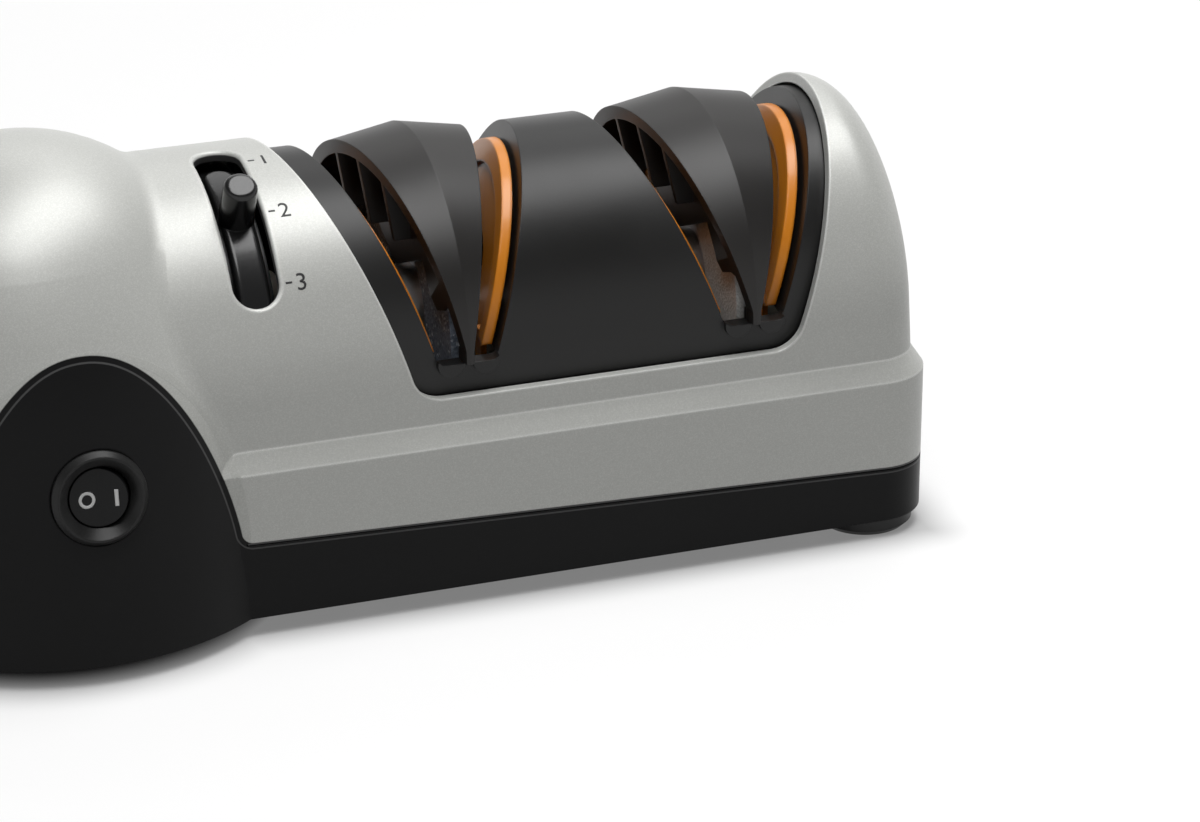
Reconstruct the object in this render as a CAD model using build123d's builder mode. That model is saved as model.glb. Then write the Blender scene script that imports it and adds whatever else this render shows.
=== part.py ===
from build123d import *
import os
from math import asin, atan, cos, degrees, radians, sin, sqrt, tan

# Electric knife sharpener: a motor dome on the left, a bar with two sharpening stations on the right.
# Millimetres, +X along the bar, +Y to the back, +Z up. The origin is on the surface that the feet
# stand on, under the middle of the body.

os.makedirs("parts", exist_ok=True)

# ---------------------------------------------------------------- driving dimensions
overall_length = 281.0
foot_height = 5.0
wall = 2.5
seam = 0.3

dome_overhang = 16.0
dome_above = 9.7
dome_lean = 2.9
dome_shoulder = 107.5
dome_low_turn = 11.4
dome_high_turn = 34.8

arch_room = 8.5
spindle_rise = 56.3
end_round = 11.0
end_lean = 3.5
blend_radius = 8.0

shelf_width = 3.3
shelf_rise = 4.9
shelf_height = 38.2
shelf_bury = 0.4
corner_round = 14.0

base_height = 18.3
base_fall = 1.9
panel_half_width = 37.3
panel_rise = 53.6
panel_corner = 6.0

opening_floor = 49.5
opening_margin = (12.9, 10.4)
opening_lean = 17.3
opening_splay = (9.1, 5.1)
opening_corner = 8.5
cover_drop = 3.2
cover_tuck = 3.0

station_inset = (123.2, 48.6)
station_angle = (16.2, 19.0)
station_splay = (9.0, 6.8)
slot_floor = 57.5
slot_half_width = 7.6
slot_corner = 2.0
slot_wall = 1.8
lip_radius = 3.4
lip_depth = 1.6

hood_skin = 3.6
hood_rise = 3.0
hood_roof = 1.9
hood_reach = 11.0
hood_span = 19.0
hood_angle = (9.7, 14.0)
hood_tip = 1.4
hood_foot = 3.5
hood_hook = 3.0
hood_bury = 0.5
hood_web = 1.4
hood_web_place = 4.3
hood_rib = 1.3
hood_rib_pitch = 13.0
hood_rib_floor = 22.7
hood_window = (
    (-44.0, 48.7),
    (-44.0, 11.7),
    (-37.5, 12.7),
    (-32.0, 10.7),
    (-28.5, 15.2),
    (-23.0, 20.7),
    (-2.0, 11.7),
)

disc_radius = 37.5
disc_thickness = 1.9
disc_backing = 1.0
disc_bore = 16.0
wheel_hub_radius = 10.0
wheel_hub_length = 12.0

guide_rise = 1.2
guide_thickness = 1.5
guide_gap = 1.1
guide_tuck = 2.2
guide_lift = 1.6
guide_rim = 5.5
guide_bead = 1.2
guide_window = 20.0
rail_width = 4.5
rail_height = 5.0
rail_rise = 19.0
rail_inset = 8.8
rail_pitch = 6.0
rail_gap = 0.3
rail_reach = 18.5
rib_offsets = (-17.3, 20.7, 54.7, 83.7)
rib_thickness = 2.5
rib_lip = 2.5
leg_lap = 3.0
cam_plate_width = 10.0
cam_cut_back = 3.0
carriage_plate = 2.5
cam_play = 0.4

selector_offset = 50.9
selector_width = 10.4
selector_slot = 11.5
slot_start = -1.0
slot_end = 62.0
slot_lip = 0.9
knob_angle = 29.5
knob_thick = 8.0
knob_thin = 56.0
knob_diameter = 9.0
knob_top_diameter = 8.2
knob_height = 12.0
tongue_width = 8.4
tongue_reach = 26.5
tongue_round = 1.6
strip_clearance = 0.6
strip_thickness = 2.4
ledge_drop = 2.0
lever_plate = 3.0
lever_hub_radius = 15.0
lever_hub_width = 5.0
lever_tail = 30.0
knob_round = 1.4
pin_diameter = 4.0
pin_rise = 20.2
pin_foot = 4.0
guide_travel = 1.05

boss_radius = 11.0
running_fit = 0.05
shaft_radius = 4.0
bush_radius = 7.0
block_right = 30.1
block_thickness = 8.0
block_width = 40.0
block_head = 12.5
flange_width = 58.0
flange_length = 10.0
flange_thickness = 3.0
boss_length = 10.6
ring_radius = 13.0
ring_groove = 10.2
ring_thickness = 1.0
clip_radius = 7.0
ring_inset = 0.5
block_names = ("left", "middle", "right")
wheel_names = ("coarse", "fine")

motor_offset = 39.0
stack_radius = 36.0
stack_length = 30.0
yoke_width = 7.0
tooth_count = 6
tooth_width = 8.0
shoe_span = 46.0
coil_width = 3.6
coil_height = 4.6
coil_end = 5.0
rotor_radius = 19.0
rotor_slots = 12
air_gap = 0.5
bracket_thickness = 3.0
bracket_gap = 9.0
bracket_foot = 10.0
bearing_radius = 9.0
bearing_width = 6.0
tie_radius = 1.8
tie_circle = 32.5
fan_radius = 24.0
fan_hub_radius = 8.0
fan_width = 6.0
fan_blades = 9
fan_plate = 1.6
fan_offset = 37.6
shoe_thickness = 3.2
motor_post_radius = 5.0
motor_post_height = 9.0
motor_post_y = 18.0
pad_thickness = 3.0
coupling_radius = 11.0
coupling_body = 6.0
jaw_length = 5.0
jaw_angle = 40.0
jaw_play = 3.0
coupling_room = 0.6
coupling_offset = 13.4
vent_count = 6
vent_pitch = 7.0
vent_length = 22.0
vent_width = 2.5

switch_height = 42.5
switch_tilt = 8.0
bezel_radius = 11.7
bezel_proud = 1.6
bezel_seat = 1.4
bezel_slope = 2.4
switch_bore = 10.0
switch_depth = 17.0
rocker_radius = 7.3
rocker_gap = 0.25
rocker_angle = 9.0
rocker_sink = 0.8
rocker_skirt = 3.0
rocker_room = 7.0
pivot_depth = 1.5
pivot_span = 8.4
pivot_radius = 0.9

terminal_pitch = 8.0
terminal_width = 6.3
terminal_thickness = 0.8
terminal_length = 6.0

foot_radius = 12.5
foot_round = 1.5
foot_inset = (14.5, 40.5)
foot_side = (10.5, 16.0)
foot_names = ("foot_front_right", "foot_rear_right", "foot_front_left", "foot_rear_left")
stub_radius = 4.0
post_radius = 3.3
post_inset = 0.3
post_offset = 27.3
post_end = 32.5
post_dome = 8.6
post_turn = 31.6
screw_radius = 1.6
screw_head_radius = 3.0
screw_head_height = 1.0
screw_recess = 1.2
screw_length = 11.0
block_screw_y = 25.0
bushing_flange = 2.5
bushing_lip = 1.8
bushing_seat = 0.6
bushing_angle = 135.0
bushing_height = 12.0
bushing_radius = 5.0
cord_bore = 3.3

# ---------------------------------------------------------------- derived sizes and places
arch_radius = disc_radius + arch_room
dome_radius = arch_radius + dome_overhang
dome_height = spindle_rise + arch_radius + dome_above
guide_radius = disc_radius + guide_rise
base_z = foot_height
spindle_z = base_z + spindle_rise
floor_top = base_z + wall
left_x = -overall_length / 2
right_x = overall_length / 2
dome_x = left_x + dome_radius
station_x = tuple(right_x - inset for inset in station_inset)
opening_left = station_x[0] - opening_margin[0]
opening_right = station_x[1] + opening_margin[1]
selector_x = station_x[0] - selector_offset
coupling_x = selector_x - coupling_offset
motor_x = coupling_x - motor_offset
fan_x = motor_x - fan_offset
rail_floor = base_z + rail_rise
left_rail_y = arch_radius - rail_inset
right_rail_y = left_rail_y - rail_pitch
rail_end = station_x[1] + rail_reach
rib_places = [station_x[0] + offset for offset in rib_offsets]
pin_level = base_z + pin_rise
motor_post_top = base_z + motor_post_height
coupling_core = shaft_radius + coupling_room
shelf_top = base_z + shelf_height + shelf_rise
slot_floor_z = base_z + slot_floor
cover_radius = arch_radius - cover_drop
hood_crest = cover_radius + hood_rise
hood_inner = hood_crest - hood_skin
splay_reach = arch_radius + wall
deep = 2 * dome_radius + 20.0
disc_half = disc_thickness + disc_backing / 2
opening_sill = base_z + opening_floor - cover_tuck
cheek_window = cover_radius - 13.0
hood_foot_z = slot_floor_z + hood_foot
rail_start = selector_x - cam_plate_width / 2
spindle_axis = Axis((0, 0, spindle_z), (1, 0, 0))
knob_middle = (knob_thick + knob_thin) / 2
pin_drop = spindle_z - pin_level
slot_slope = guide_travel / (pin_drop * tan(radians((knob_thin - knob_thick) / 2)))
boss_face = selector_x - lever_hub_width / 2 - ring_thickness - ring_inset
block_x = (
    boss_face + boss_length + block_thickness / 2,
    (station_x[0] + station_x[1]) / 2,
    station_x[1] + block_right,
)
foot_places = (
    (right_x - foot_inset[0], -(arch_radius - foot_side[0])),
    (right_x - foot_inset[0], arch_radius - foot_side[0]),
    (left_x + foot_inset[1], -(arch_radius - foot_side[1])),
    (left_x + foot_inset[1], arch_radius - foot_side[1]),
)
post_side = arch_radius - wall - post_inset
post_reach = dome_radius - post_dome
post_left = dome_x - post_reach * cos(radians(post_turn))
post_depth = post_reach * sin(radians(post_turn))
post_places = (
    (station_x[0] - post_offset, -post_side),
    (station_x[0] - post_offset, post_side),
    (right_x - post_end, -post_side),
    (right_x - post_end, post_side),
    (post_left, -post_depth),
    (post_left, post_depth),
)


def front_view(y):
    """Sketch plane at depth y: local x is +X, local y is +Z, and its normal points to the front."""
    return Plane(origin=(0, y, 0), x_dir=(1, 0, 0), z_dir=(0, -1, 0))


def end_view(x):
    """Sketch plane at length x: local x is +Y, local y is +Z, and its normal points to the right."""
    return Plane(origin=(x, 0, 0), x_dir=(0, 1, 0), z_dir=(1, 0, 0))


def spoke(x, angle, reach=0.0):
    """Plane whose normal points away from the spindle, at an angle from the crest to the front."""
    out = (0, -sin(radians(angle)), cos(radians(angle)))
    start = (x, reach * out[1], spindle_z + reach * out[2])
    return Plane(origin=start, x_dir=(1, 0, 0), z_dir=out)


def polar(radius, angle):
    """Point on an end view, at an angle from the crest to the front."""
    return (-radius * sin(radians(angle)), spindle_z + radius * cos(radians(angle)))


def dome_arcs():
    """The profile's three tangent arcs: radius, and the turn from upright at each arc's end."""
    low = radians(dome_low_turn)
    high = radians(dome_high_turn)
    across = dome_radius - dome_shoulder * (cos(low) - cos(high))
    up = dome_height - dome_shoulder * (sin(high) - sin(low))
    scale = (1 - cos(low)) * (1 - sin(high)) - cos(high) * sin(low)
    skirt = (across * (1 - sin(high)) - cos(high) * up) / scale
    crown = ((1 - cos(low)) * up - sin(low) * across) / scale
    return [(skirt, dome_low_turn), (dome_shoulder, dome_high_turn), (crown, 90)]


def dome_reach(height):
    """Radius of the dome at a height above its underside."""
    reach = dome_radius
    level = 0
    start = 0
    for radius, stop in dome_arcs():
        top = level + radius * (sin(radians(stop)) - sin(start))
        if height <= top:
            turn = asin(sin(start) + (height - level) / radius)
            return reach - radius * (cos(start) - cos(turn))
        reach = reach - radius * (cos(start) - cos(radians(stop)))
        level = top
        start = radians(stop)
    return 0


def switch_plane():
    """Plane of the switch: tangent to the front of the dome, with its normal pointing out."""
    tilt = radians(switch_tilt)
    start = (dome_x, -dome_reach(switch_height), base_z + switch_height)
    return Plane(origin=start, x_dir=(1, 0, 0), z_dir=(0, -cos(tilt), sin(tilt)))


def bushing_plane():
    """Plane of the cord inlet, low on the back left of the dome, with its normal pointing out."""
    out = (cos(radians(bushing_angle)), sin(radians(bushing_angle)), 0)
    reach = dome_reach(bushing_height)
    start = (dome_x + reach * out[0], reach * out[1], base_z + bushing_height)
    return Plane(origin=start, x_dir=(-out[1], out[0], 0), z_dir=out)


def motor_post_places():
    """Centres of the four posts that the motor stands on."""
    reach = stack_length / 2 + bracket_gap + bracket_foot * 0.6
    return [(motor_x + end * reach, side * motor_post_y) for end in (-1, 1) for side in (-1, 1)]


def block_screw_places():
    """Centres of the screws that hold the three bearing blocks down."""
    return [(x, side * block_screw_y) for x in block_x for side in (-1, 1)]


def splay_at(index, y):
    """How far a station's planes have spread at depth y, from the front of the cover."""
    return tan(radians(station_splay[index])) * (y + cover_radius)


def lip_places(index, y):
    """Middles of the two slots of a station at their floor, at depth y."""
    middle = (hood_tip + slot_half_width) / 2 + splay_at(index, y)
    return (station_x[index] - middle, station_x[index] + middle)


def splayed(points_at, corner=0.0):
    """Ruled solid across the bar, from its outline at the front to its outline at the back."""
    with BuildPart() as form:
        for y in (-splay_reach, splay_reach):
            with BuildSketch(front_view(y)) as outline:
                Polygon(*points_at(y), align=None)
                if corner > 0:
                    fillet(outline.vertices().group_by(Axis.Z)[0], radius=corner)
        loft(ruled=True)
    return form.part


switch_face = switch_plane()
bushing_face = bushing_plane()


# ---------------------------------------------------------------- outer form of the body
def dome_form(inset):
    """Bell-shaped motor dome, leaning slightly to the left, cut flat at the underside."""
    lean = radians(dome_lean)
    radius = dome_radius - inset
    profile = Plane(origin=(dome_x, 0, base_z), x_dir=(cos(lean), 0, sin(lean)), z_dir=(0, -1, 0))
    skirt = -2 * foot_height
    with BuildPart() as form:
        with BuildSketch(profile):
            with BuildLine():
                start = Vector(radius, 0)
                heading = Vector(0, 1)
                turn = 0
                for bend, stop in dome_arcs():
                    arc = JernArc(start, heading, bend - inset, stop - turn)
                    start = arc @ 1
                    heading = arc % 1
                    turn = stop
                Polyline(start, (0, skirt), (radius, skirt), (radius, 0))
            make_face()
        revolve(axis=Axis((dome_x, 0, base_z), (-sin(lean), 0, cos(lean))))
        split(bisect_by=Plane.XY.offset(base_z), keep=Keep.TOP)
    return form.part


def arch_form(radius, start, stop, bottom=base_z):
    """Half-round arch on straight walls, along the bar."""
    with BuildPart() as form:
        with BuildSketch(end_view(start)):
            with Locations((0, spindle_z)):
                Circle(radius)
            with Locations((0, (spindle_z + bottom) / 2)):
                Rectangle(2 * radius, spindle_z - bottom)
            with Locations((0, bottom - radius)):
                Rectangle(4 * radius, 2 * radius, mode=Mode.SUBTRACT)
        extrude(amount=stop - start)
    return form.part


def bar_form(inset):
    """Arch of the bar with its leaning, rounded right end."""
    end_x = right_x - shelf_width - inset
    lean = radians(end_lean)
    end_plane = Plane(origin=(end_x, 0, shelf_top), z_dir=(cos(lean), 0, sin(lean)))
    with BuildPart() as form:
        add(arch_form(arch_radius - inset, dome_x, right_x + wall))
        split(bisect_by=end_plane, keep=Keep.BOTTOM)
        end_face = form.faces().sort_by(Axis.X)[-1]
        rim = end_face.edges().filter_by(lambda edge: edge.center().Z > base_z + 1)
        fillet(rim, radius=end_round - inset)
    return form.part


def plinth_form(inset):
    """Wider lower body, with the sloping shelf that runs round it."""
    half = arch_radius + shelf_width - inset
    length = right_x - inset - dome_x
    with BuildPart() as form:
        with BuildSketch(Plane.XY.offset(base_z)) as outline:
            with Locations((dome_x + length / 2, 0)):
                Rectangle(length, 2 * half)
            fillet(outline.vertices().group_by(Axis.X)[-1], radius=corner_round - inset)
        extrude(amount=shelf_height)
        with BuildSketch(Plane.XY.offset(base_z + shelf_height)):
            add(outline.sketch.moved(Location((0, 0, -base_z))))
        extrude(amount=shelf_rise + shelf_bury, taper=degrees(atan(shelf_width / shelf_rise)))
    return form.part


def outer_form():
    """Whole outer skin, with the hollow blend between the dome and the bar."""
    with BuildPart() as form:
        add(dome_form(0))
        add(bar_form(0))
        seam_edges = form.edges(Select.NEW).filter_by(lambda edge: edge.center().Z > shelf_top)
        fillet(seam_edges, radius=blend_radius)
        add(plinth_form(0))
    return form.part


def inner_form(inset):
    """Space inside the skin."""
    with BuildPart() as form:
        add(dome_form(inset))
        add(bar_form(inset))
        add(plinth_form(inset))
        split(bisect_by=Plane.XY.offset(floor_top), keep=Keep.TOP)
    return form.part


outer = outer_form()
inner = inner_form(wall)


def base_top(x, gap):
    """Height of the base's upper edge, which falls gently to the right."""
    return base_z + base_height - tan(radians(base_fall)) * x + gap


def base_region(gap):
    """Everything that belongs to the black base: a low band all round and the front switch panel."""
    low = base_z - wall
    with BuildPart() as region:
        with BuildSketch(front_view(deep / 2)):
            Polygon(
                (left_x - wall, low),
                (right_x + wall, low),
                (right_x + wall, base_top(right_x + wall, gap)),
                (left_x - wall, base_top(left_x - wall, gap)),
                align=None,
            )
        extrude(amount=deep)
        with BuildSketch(front_view(-dome_radius / 4)) as panel:
            foot = base_top(dome_x, 0)
            with BuildLine():
                arch = EllipticalCenterArc(
                    (dome_x, foot), panel_half_width + gap, panel_rise + gap, start_angle=0, arc_size=180
                )
                reach = panel_half_width + gap
                Polyline(arch @ 1, (dome_x - reach, low), (dome_x + reach, low), arch @ 0)
            make_face()
            Polygon(
                (dome_x - dome_radius, low),
                (dome_x + dome_radius, low),
                (dome_x + dome_radius, base_top(dome_x + dome_radius, gap)),
                (dome_x - dome_radius, base_top(dome_x - dome_radius, gap)),
                align=None,
            )
            corners = panel.vertices().filter_by(
                lambda v: abs(v.X - dome_x) < dome_radius - 1 and v.Z > low + 1
            )
            fillet(corners, radius=panel_corner - gap)
        extrude(amount=dome_radius)
    return region.part


def opening_region(grow):
    """Saddle-shaped opening that the sharpening cover fills, through the whole depth."""
    lean = tan(radians(opening_lean))
    low = base_z + opening_floor - grow
    high = spindle_z + 2 * arch_radius
    edge = grow / cos(radians(opening_lean)) - lean * grow
    rise = lean * (high - base_z - opening_floor) + lean * grow

    def outline(y):
        left = opening_left - edge - tan(radians(opening_splay[0])) * (y + arch_radius)
        right = opening_right + edge + tan(radians(opening_splay[1])) * (y + arch_radius)
        return [(left, low), (right, low), (right + rise, high), (left - rise, high)]

    return splayed(outline, opening_corner + grow)


def station_region(index, grow, corner, tuck=0.0):
    """V-shaped gap of one station, which may reach further left, under the edge of the cover."""
    high = spindle_z + 2 * arch_radius
    rise = tan(radians(station_angle[index])) * (high - slot_floor_z)
    middle = station_x[index]

    def outline(y):
        side = slot_half_width + grow + splay_at(index, y)
        return [
            (middle - side - tuck, slot_floor_z),
            (middle + side, slot_floor_z),
            (middle + side + rise, high),
            (middle - side - tuck - rise, high),
        ]

    return splayed(outline, corner)


def hood_region(index):
    """Wedge that the hood fills: narrow at the front and at its foot."""
    high = spindle_z + 2 * arch_radius
    rise = tan(radians(hood_angle[index])) * (high - hood_foot_z)
    middle = station_x[index]

    def outline(y):
        side = hood_tip + splay_at(index, y)
        return [
            (middle - side, slot_floor_z),
            (middle + side, slot_floor_z),
            (middle + side, hood_foot_z),
            (middle + side + rise, high),
            (middle - side - rise, high),
            (middle - side, hood_foot_z),
        ]

    return splayed(outline)


def ring_form(outer_radius, inner_radius, start, stop):
    """Plain ring or sleeve round the spindle."""
    with BuildPart() as form:
        with BuildSketch(end_view(start)):
            with Locations((0, spindle_z)):
                Circle(outer_radius)
                Circle(inner_radius, mode=Mode.SUBTRACT)
        extrude(amount=stop - start)
    return form.part


def bar_section(x, width, outer_radius, inner_radius, first, last):
    """Curved strip round the spindle between two angles, with half-round ends."""
    margin = degrees(width / 2 / outer_radius)
    reach = 2 * outer_radius
    steps = [first + margin, (first + last) / 2, last - margin]
    with BuildPart() as strip:
        add(ring_form(outer_radius, inner_radius, x - width / 2, x + width / 2))
        with BuildSketch(end_view(x - width / 2)):
            Polygon((0, spindle_z), *[polar(reach, angle) for angle in steps], align=None)
        extrude(amount=width, mode=Mode.INTERSECT)
    with BuildPart() as ends:
        for angle in (steps[0], steps[-1]):
            with BuildSketch(spoke(x, angle, inner_radius - 1)):
                Circle(width / 2)
            extrude(amount=outer_radius - inner_radius + 2)
        add(ring_form(outer_radius, inner_radius, x - width, x + width), mode=Mode.INTERSECT)
    with BuildPart() as whole:
        add(strip.part)
        add(ends.part)
    return whole.part


def save(piece, name):
    """Label a finished piece and write it."""
    piece.part.label = name
    export_step(piece.part, f"parts/{name}.step")


# ---------------------------------------------------------------- housings
def upper_housing():
    """Silver shell: dome, bar and right end, open underneath and at the sharpening cover."""
    slot = bar_section(
        selector_x, selector_slot, arch_radius + wall, arch_radius - 2 * wall, slot_start, slot_end
    )
    with BuildPart() as posts:
        with BuildSketch(Plane.XY.offset(floor_top)):
            with Locations(*post_places):
                Circle(post_radius)
        extrude(amount=dome_height)
        add(outer, mode=Mode.INTERSECT)
        add(opening_region(cover_tuck + seam), mode=Mode.SUBTRACT)
    with BuildPart() as housing:
        add(outer)
        add(inner, mode=Mode.SUBTRACT)
        add(base_region(seam), mode=Mode.SUBTRACT)
        add(opening_region(0), mode=Mode.SUBTRACT)
        add(slot, mode=Mode.SUBTRACT)
        lip = housing.edges(Select.LAST).filter_by(lambda edge: spoke_reach(edge) > arch_radius - 0.01)
        fillet(lip, radius=slot_lip)
        add(posts.part)
        with BuildSketch(Plane.XY.offset(floor_top)):
            with Locations(*post_places):
                Circle(screw_radius)
        extrude(amount=screw_length + 1, mode=Mode.SUBTRACT)
    save(housing, "upper_housing")


def base_housing():
    """Black tray with the switch panel, the bosses and the ribs that carry the works."""
    with BuildPart() as seat:
        add(inner)
        add(base_region(0), mode=Mode.INTERSECT)
    with BuildPart() as tongue:
        add(inner_form(wall + seam))
        add(base_region(wall), mode=Mode.INTERSECT)
        add(seat.part)
        add(inner_form(2 * wall), mode=Mode.SUBTRACT)
        add(base_region(-2 * wall), mode=Mode.SUBTRACT)
        with BuildSketch(Plane.XY.offset(floor_top)):
            with Locations(*post_places):
                Circle(post_radius + seam)
        extrude(amount=dome_height, mode=Mode.SUBTRACT)
    with BuildPart() as ribs:
        rib_y = (left_rail_y + right_rail_y) / 2
        rib_width = left_rail_y - right_rail_y + rail_width + wall
        rib_spots = [(x, side * rib_y) for x in rib_places for side in (-1, 1)]
        with BuildSketch(Plane.XY.offset(base_z)):
            with Locations(*rib_spots):
                Rectangle(rib_thickness, rib_width)
        extrude(amount=rail_floor + rib_lip - base_z)
        with BuildSketch(Plane.XY.offset(rail_floor - rail_gap)):
            with GridLocations(0, 2 * left_rail_y, 1, 2):
                Rectangle(overall_length, rail_width + 2 * rail_gap)
            with GridLocations(0, 2 * right_rail_y, 1, 2):
                Rectangle(overall_length, rail_width + 2 * rail_gap)
        extrude(amount=rail_height, mode=Mode.SUBTRACT)
        with BuildSketch(Plane.XY.offset(base_z)):
            with Locations(*motor_post_places()):
                Circle(motor_post_radius)
        extrude(amount=motor_post_top - base_z)
    with BuildPart() as housing:
        add(outer)
        add(inner, mode=Mode.SUBTRACT)
        add(base_region(0), mode=Mode.INTERSECT)
        add(tongue.part)
        add(ribs.part)
        with BuildSketch(Plane.XY.offset(base_z)):
            with Locations(*post_places):
                Circle(screw_radius + seam)
            with Locations(*foot_places):
                Circle(stub_radius)
            with Locations((dome_x, 0)):
                with GridLocations(vent_pitch, 0, vent_count, 1):
                    SlotOverall(vent_length, vent_width, rotation=90)
        extrude(amount=wall, mode=Mode.SUBTRACT)
        with BuildSketch(Plane.XY.offset(base_z)):
            with Locations(*post_places):
                Circle(screw_head_radius + seam)
        extrude(amount=screw_recess, mode=Mode.SUBTRACT)
        with BuildSketch(switch_face.offset(-wall * 3)):
            Circle(switch_bore)
        extrude(amount=wall * 6, mode=Mode.SUBTRACT)
        with BuildSketch(switch_face.offset(-bezel_seat)):
            Circle(bezel_radius)
        extrude(amount=wall * 3, mode=Mode.SUBTRACT)
        with BuildSketch(bushing_face.offset(-3 * wall)):
            Circle(bushing_radius)
        extrude(amount=6 * wall, mode=Mode.SUBTRACT)
        with BuildSketch(bushing_face.offset(-bushing_seat)):
            Circle(bushing_radius + bushing_flange + seam)
        extrude(amount=2 * wall, mode=Mode.SUBTRACT)
        for place in (motor_post_places(), block_screw_places()):
            with BuildSketch(Plane.XY.offset(base_z + 1)):
                with Locations(*place):
                    Circle(screw_radius)
            extrude(amount=motor_post_top, mode=Mode.SUBTRACT)
    save(housing, "base_housing")


def sharpening_cover():
    """Black saddle over the stations: three arched bands joined by a low wall front and back."""
    crest = arch_form(cover_radius, left_x, right_x, opening_sill)
    hollow = arch_form(cover_radius - wall, left_x, right_x, opening_sill - 1)
    with BuildPart() as bands:
        add(crest)
        add(hollow, mode=Mode.SUBTRACT)
    with BuildPart() as cheeks:
        for index in (0, 1):
            add(station_region(index, slot_wall, 0, guide_tuck))
        add(ring_form(cover_radius, cheek_window, left_x, right_x), mode=Mode.INTERSECT)
        for index in (0, 1):
            add(station_region(index, 0, 0, guide_tuck), mode=Mode.SUBTRACT)
    with BuildPart() as lips:
        for index in (0, 1):
            for start in (-cover_radius - lip_depth, cover_radius - wall):
                stop = start + wall + lip_depth
                with BuildSketch(front_view(stop)):
                    for x in lip_places(index, -cover_radius if start < 0 else cover_radius):
                        with Locations((x, slot_floor_z)):
                            Circle(lip_radius)
                extrude(amount=wall + lip_depth)
    with BuildPart() as cover:
        add(bands.part)
        add(cheeks.part)
        add(lips.part)
        for index in (0, 1):
            add(station_region(index, 0, slot_corner), mode=Mode.SUBTRACT)
        add(opening_region(cover_tuck), mode=Mode.INTERSECT)
    save(cover, "sharpening_cover")


def wheel_hood(index):
    """Roofed arch between the two slots of a station, open on both sides, with ribs and webs."""
    x = station_x[index]
    fall = hood_roof * hood_span / hood_reach
    with BuildPart() as skin:
        with BuildSketch(front_view(0)):
            with Locations((x, spindle_z)):
                Polygon(
                    (-hood_span, hood_inner - fall),
                    (0, hood_inner),
                    (hood_span, hood_inner - fall),
                    (hood_span, hood_crest - fall),
                    (0, hood_crest),
                    (-hood_span, hood_crest - fall),
                    align=None,
                )
        revolve(axis=spindle_axis)
    with BuildPart() as inside:
        for side in (-1, 1):
            with BuildSketch(end_view(x + side * hood_web_place - hood_web / 2)):
                with Locations((0, spindle_z)):
                    Polygon(*hood_window, *[(-y, z) for y, z in reversed(hood_window)], align=None)
            extrude(amount=hood_web)
        with BuildSketch(Plane.XY.offset(spindle_z + hood_rib_floor)):
            with Locations((x, 0)):
                with GridLocations(0, hood_rib_pitch, 1, 3):
                    Rectangle(2 * hood_span, hood_rib)
                Rectangle(2 * hood_web_place, deep, mode=Mode.SUBTRACT)
        extrude(amount=arch_radius)
        with BuildSketch(front_view(0)):
            with Locations((x, spindle_z)):
                Polygon(
                    (-hood_span, 0),
                    (hood_span, 0),
                    (hood_span, hood_inner - fall + hood_bury),
                    (0, hood_inner + hood_bury),
                    (-hood_span, hood_inner - fall + hood_bury),
                    align=None,
                )
        revolve(axis=spindle_axis, mode=Mode.INTERSECT)
    with BuildPart() as hood:
        add(skin.part)
        add(inside.part)
        add(hood_region(index), mode=Mode.INTERSECT)
        with BuildSketch(Plane.XY.offset(slot_floor_z)):
            with Locations((x, 0)):
                Rectangle(2 * hood_tip, 2 * hood_inner + 1)
                Rectangle(2 * hood_tip, 2 * (cover_radius - wall), mode=Mode.SUBTRACT)
        extrude(amount=hood_hook)
    save(hood, f"wheel_hood_{index + 1}")


def guide_blank(index, side, near, far):
    """Inclined slab beside a slot, between two distances from the station's middle at the slot floor."""
    high = spindle_z + arch_radius
    rise = tan(radians(station_angle[index])) * (high - slot_floor_z)
    middle = station_x[index]

    def outline(y):
        start = middle + side * (near + splay_at(index, y))
        stop = middle + side * (far + splay_at(index, y))
        return [
            (start, slot_floor_z),
            (stop, slot_floor_z),
            (stop + side * rise, high),
            (start + side * rise, high),
        ]

    with BuildPart() as slab:
        add(splayed(outline))
        split(bisect_by=Plane.XY.offset(slot_floor_z + guide_lift), keep=Keep.TOP)
    return slab.part


def blade_guide(index, side):
    """Orange half-round plate with a raised rim, on two legs that reach down to its carriage."""
    far = slot_half_width - guide_gap + (guide_tuck if side < 0 else 0)
    near = far - guide_thickness
    with BuildPart() as plate:
        add(guide_blank(index, side, near, far))
        add(ring_form(guide_radius, guide_window, left_x, right_x), mode=Mode.INTERSECT)
    with BuildPart() as rim:
        add(guide_blank(index, side, near - guide_bead, near))
        add(ring_form(guide_radius, guide_radius - guide_rim, left_x, right_x), mode=Mode.INTERSECT)
    with BuildPart() as legs:
        rail_y = left_rail_y if side < 0 else right_rail_y
        with BuildSketch(Plane.XY.offset(rail_floor + rail_height)):
            for leg_y in (-rail_y, rail_y):
                spread = splay_at(index, leg_y - rail_width / 2)
                leg_x = station_x[index] + side * ((near + far) / 2 + spread)
                with Locations((leg_x, leg_y)):
                    Rectangle(guide_thickness, rail_width)
        extrude(amount=slot_floor_z - rail_floor - rail_height + leg_lap)
    with BuildPart() as guide:
        add(plate.part)
        add(rim.part)
        add(legs.part)
    save(guide, f"blade_guide_{index + 1}_{'left' if side < 0 else 'right'}")


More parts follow.
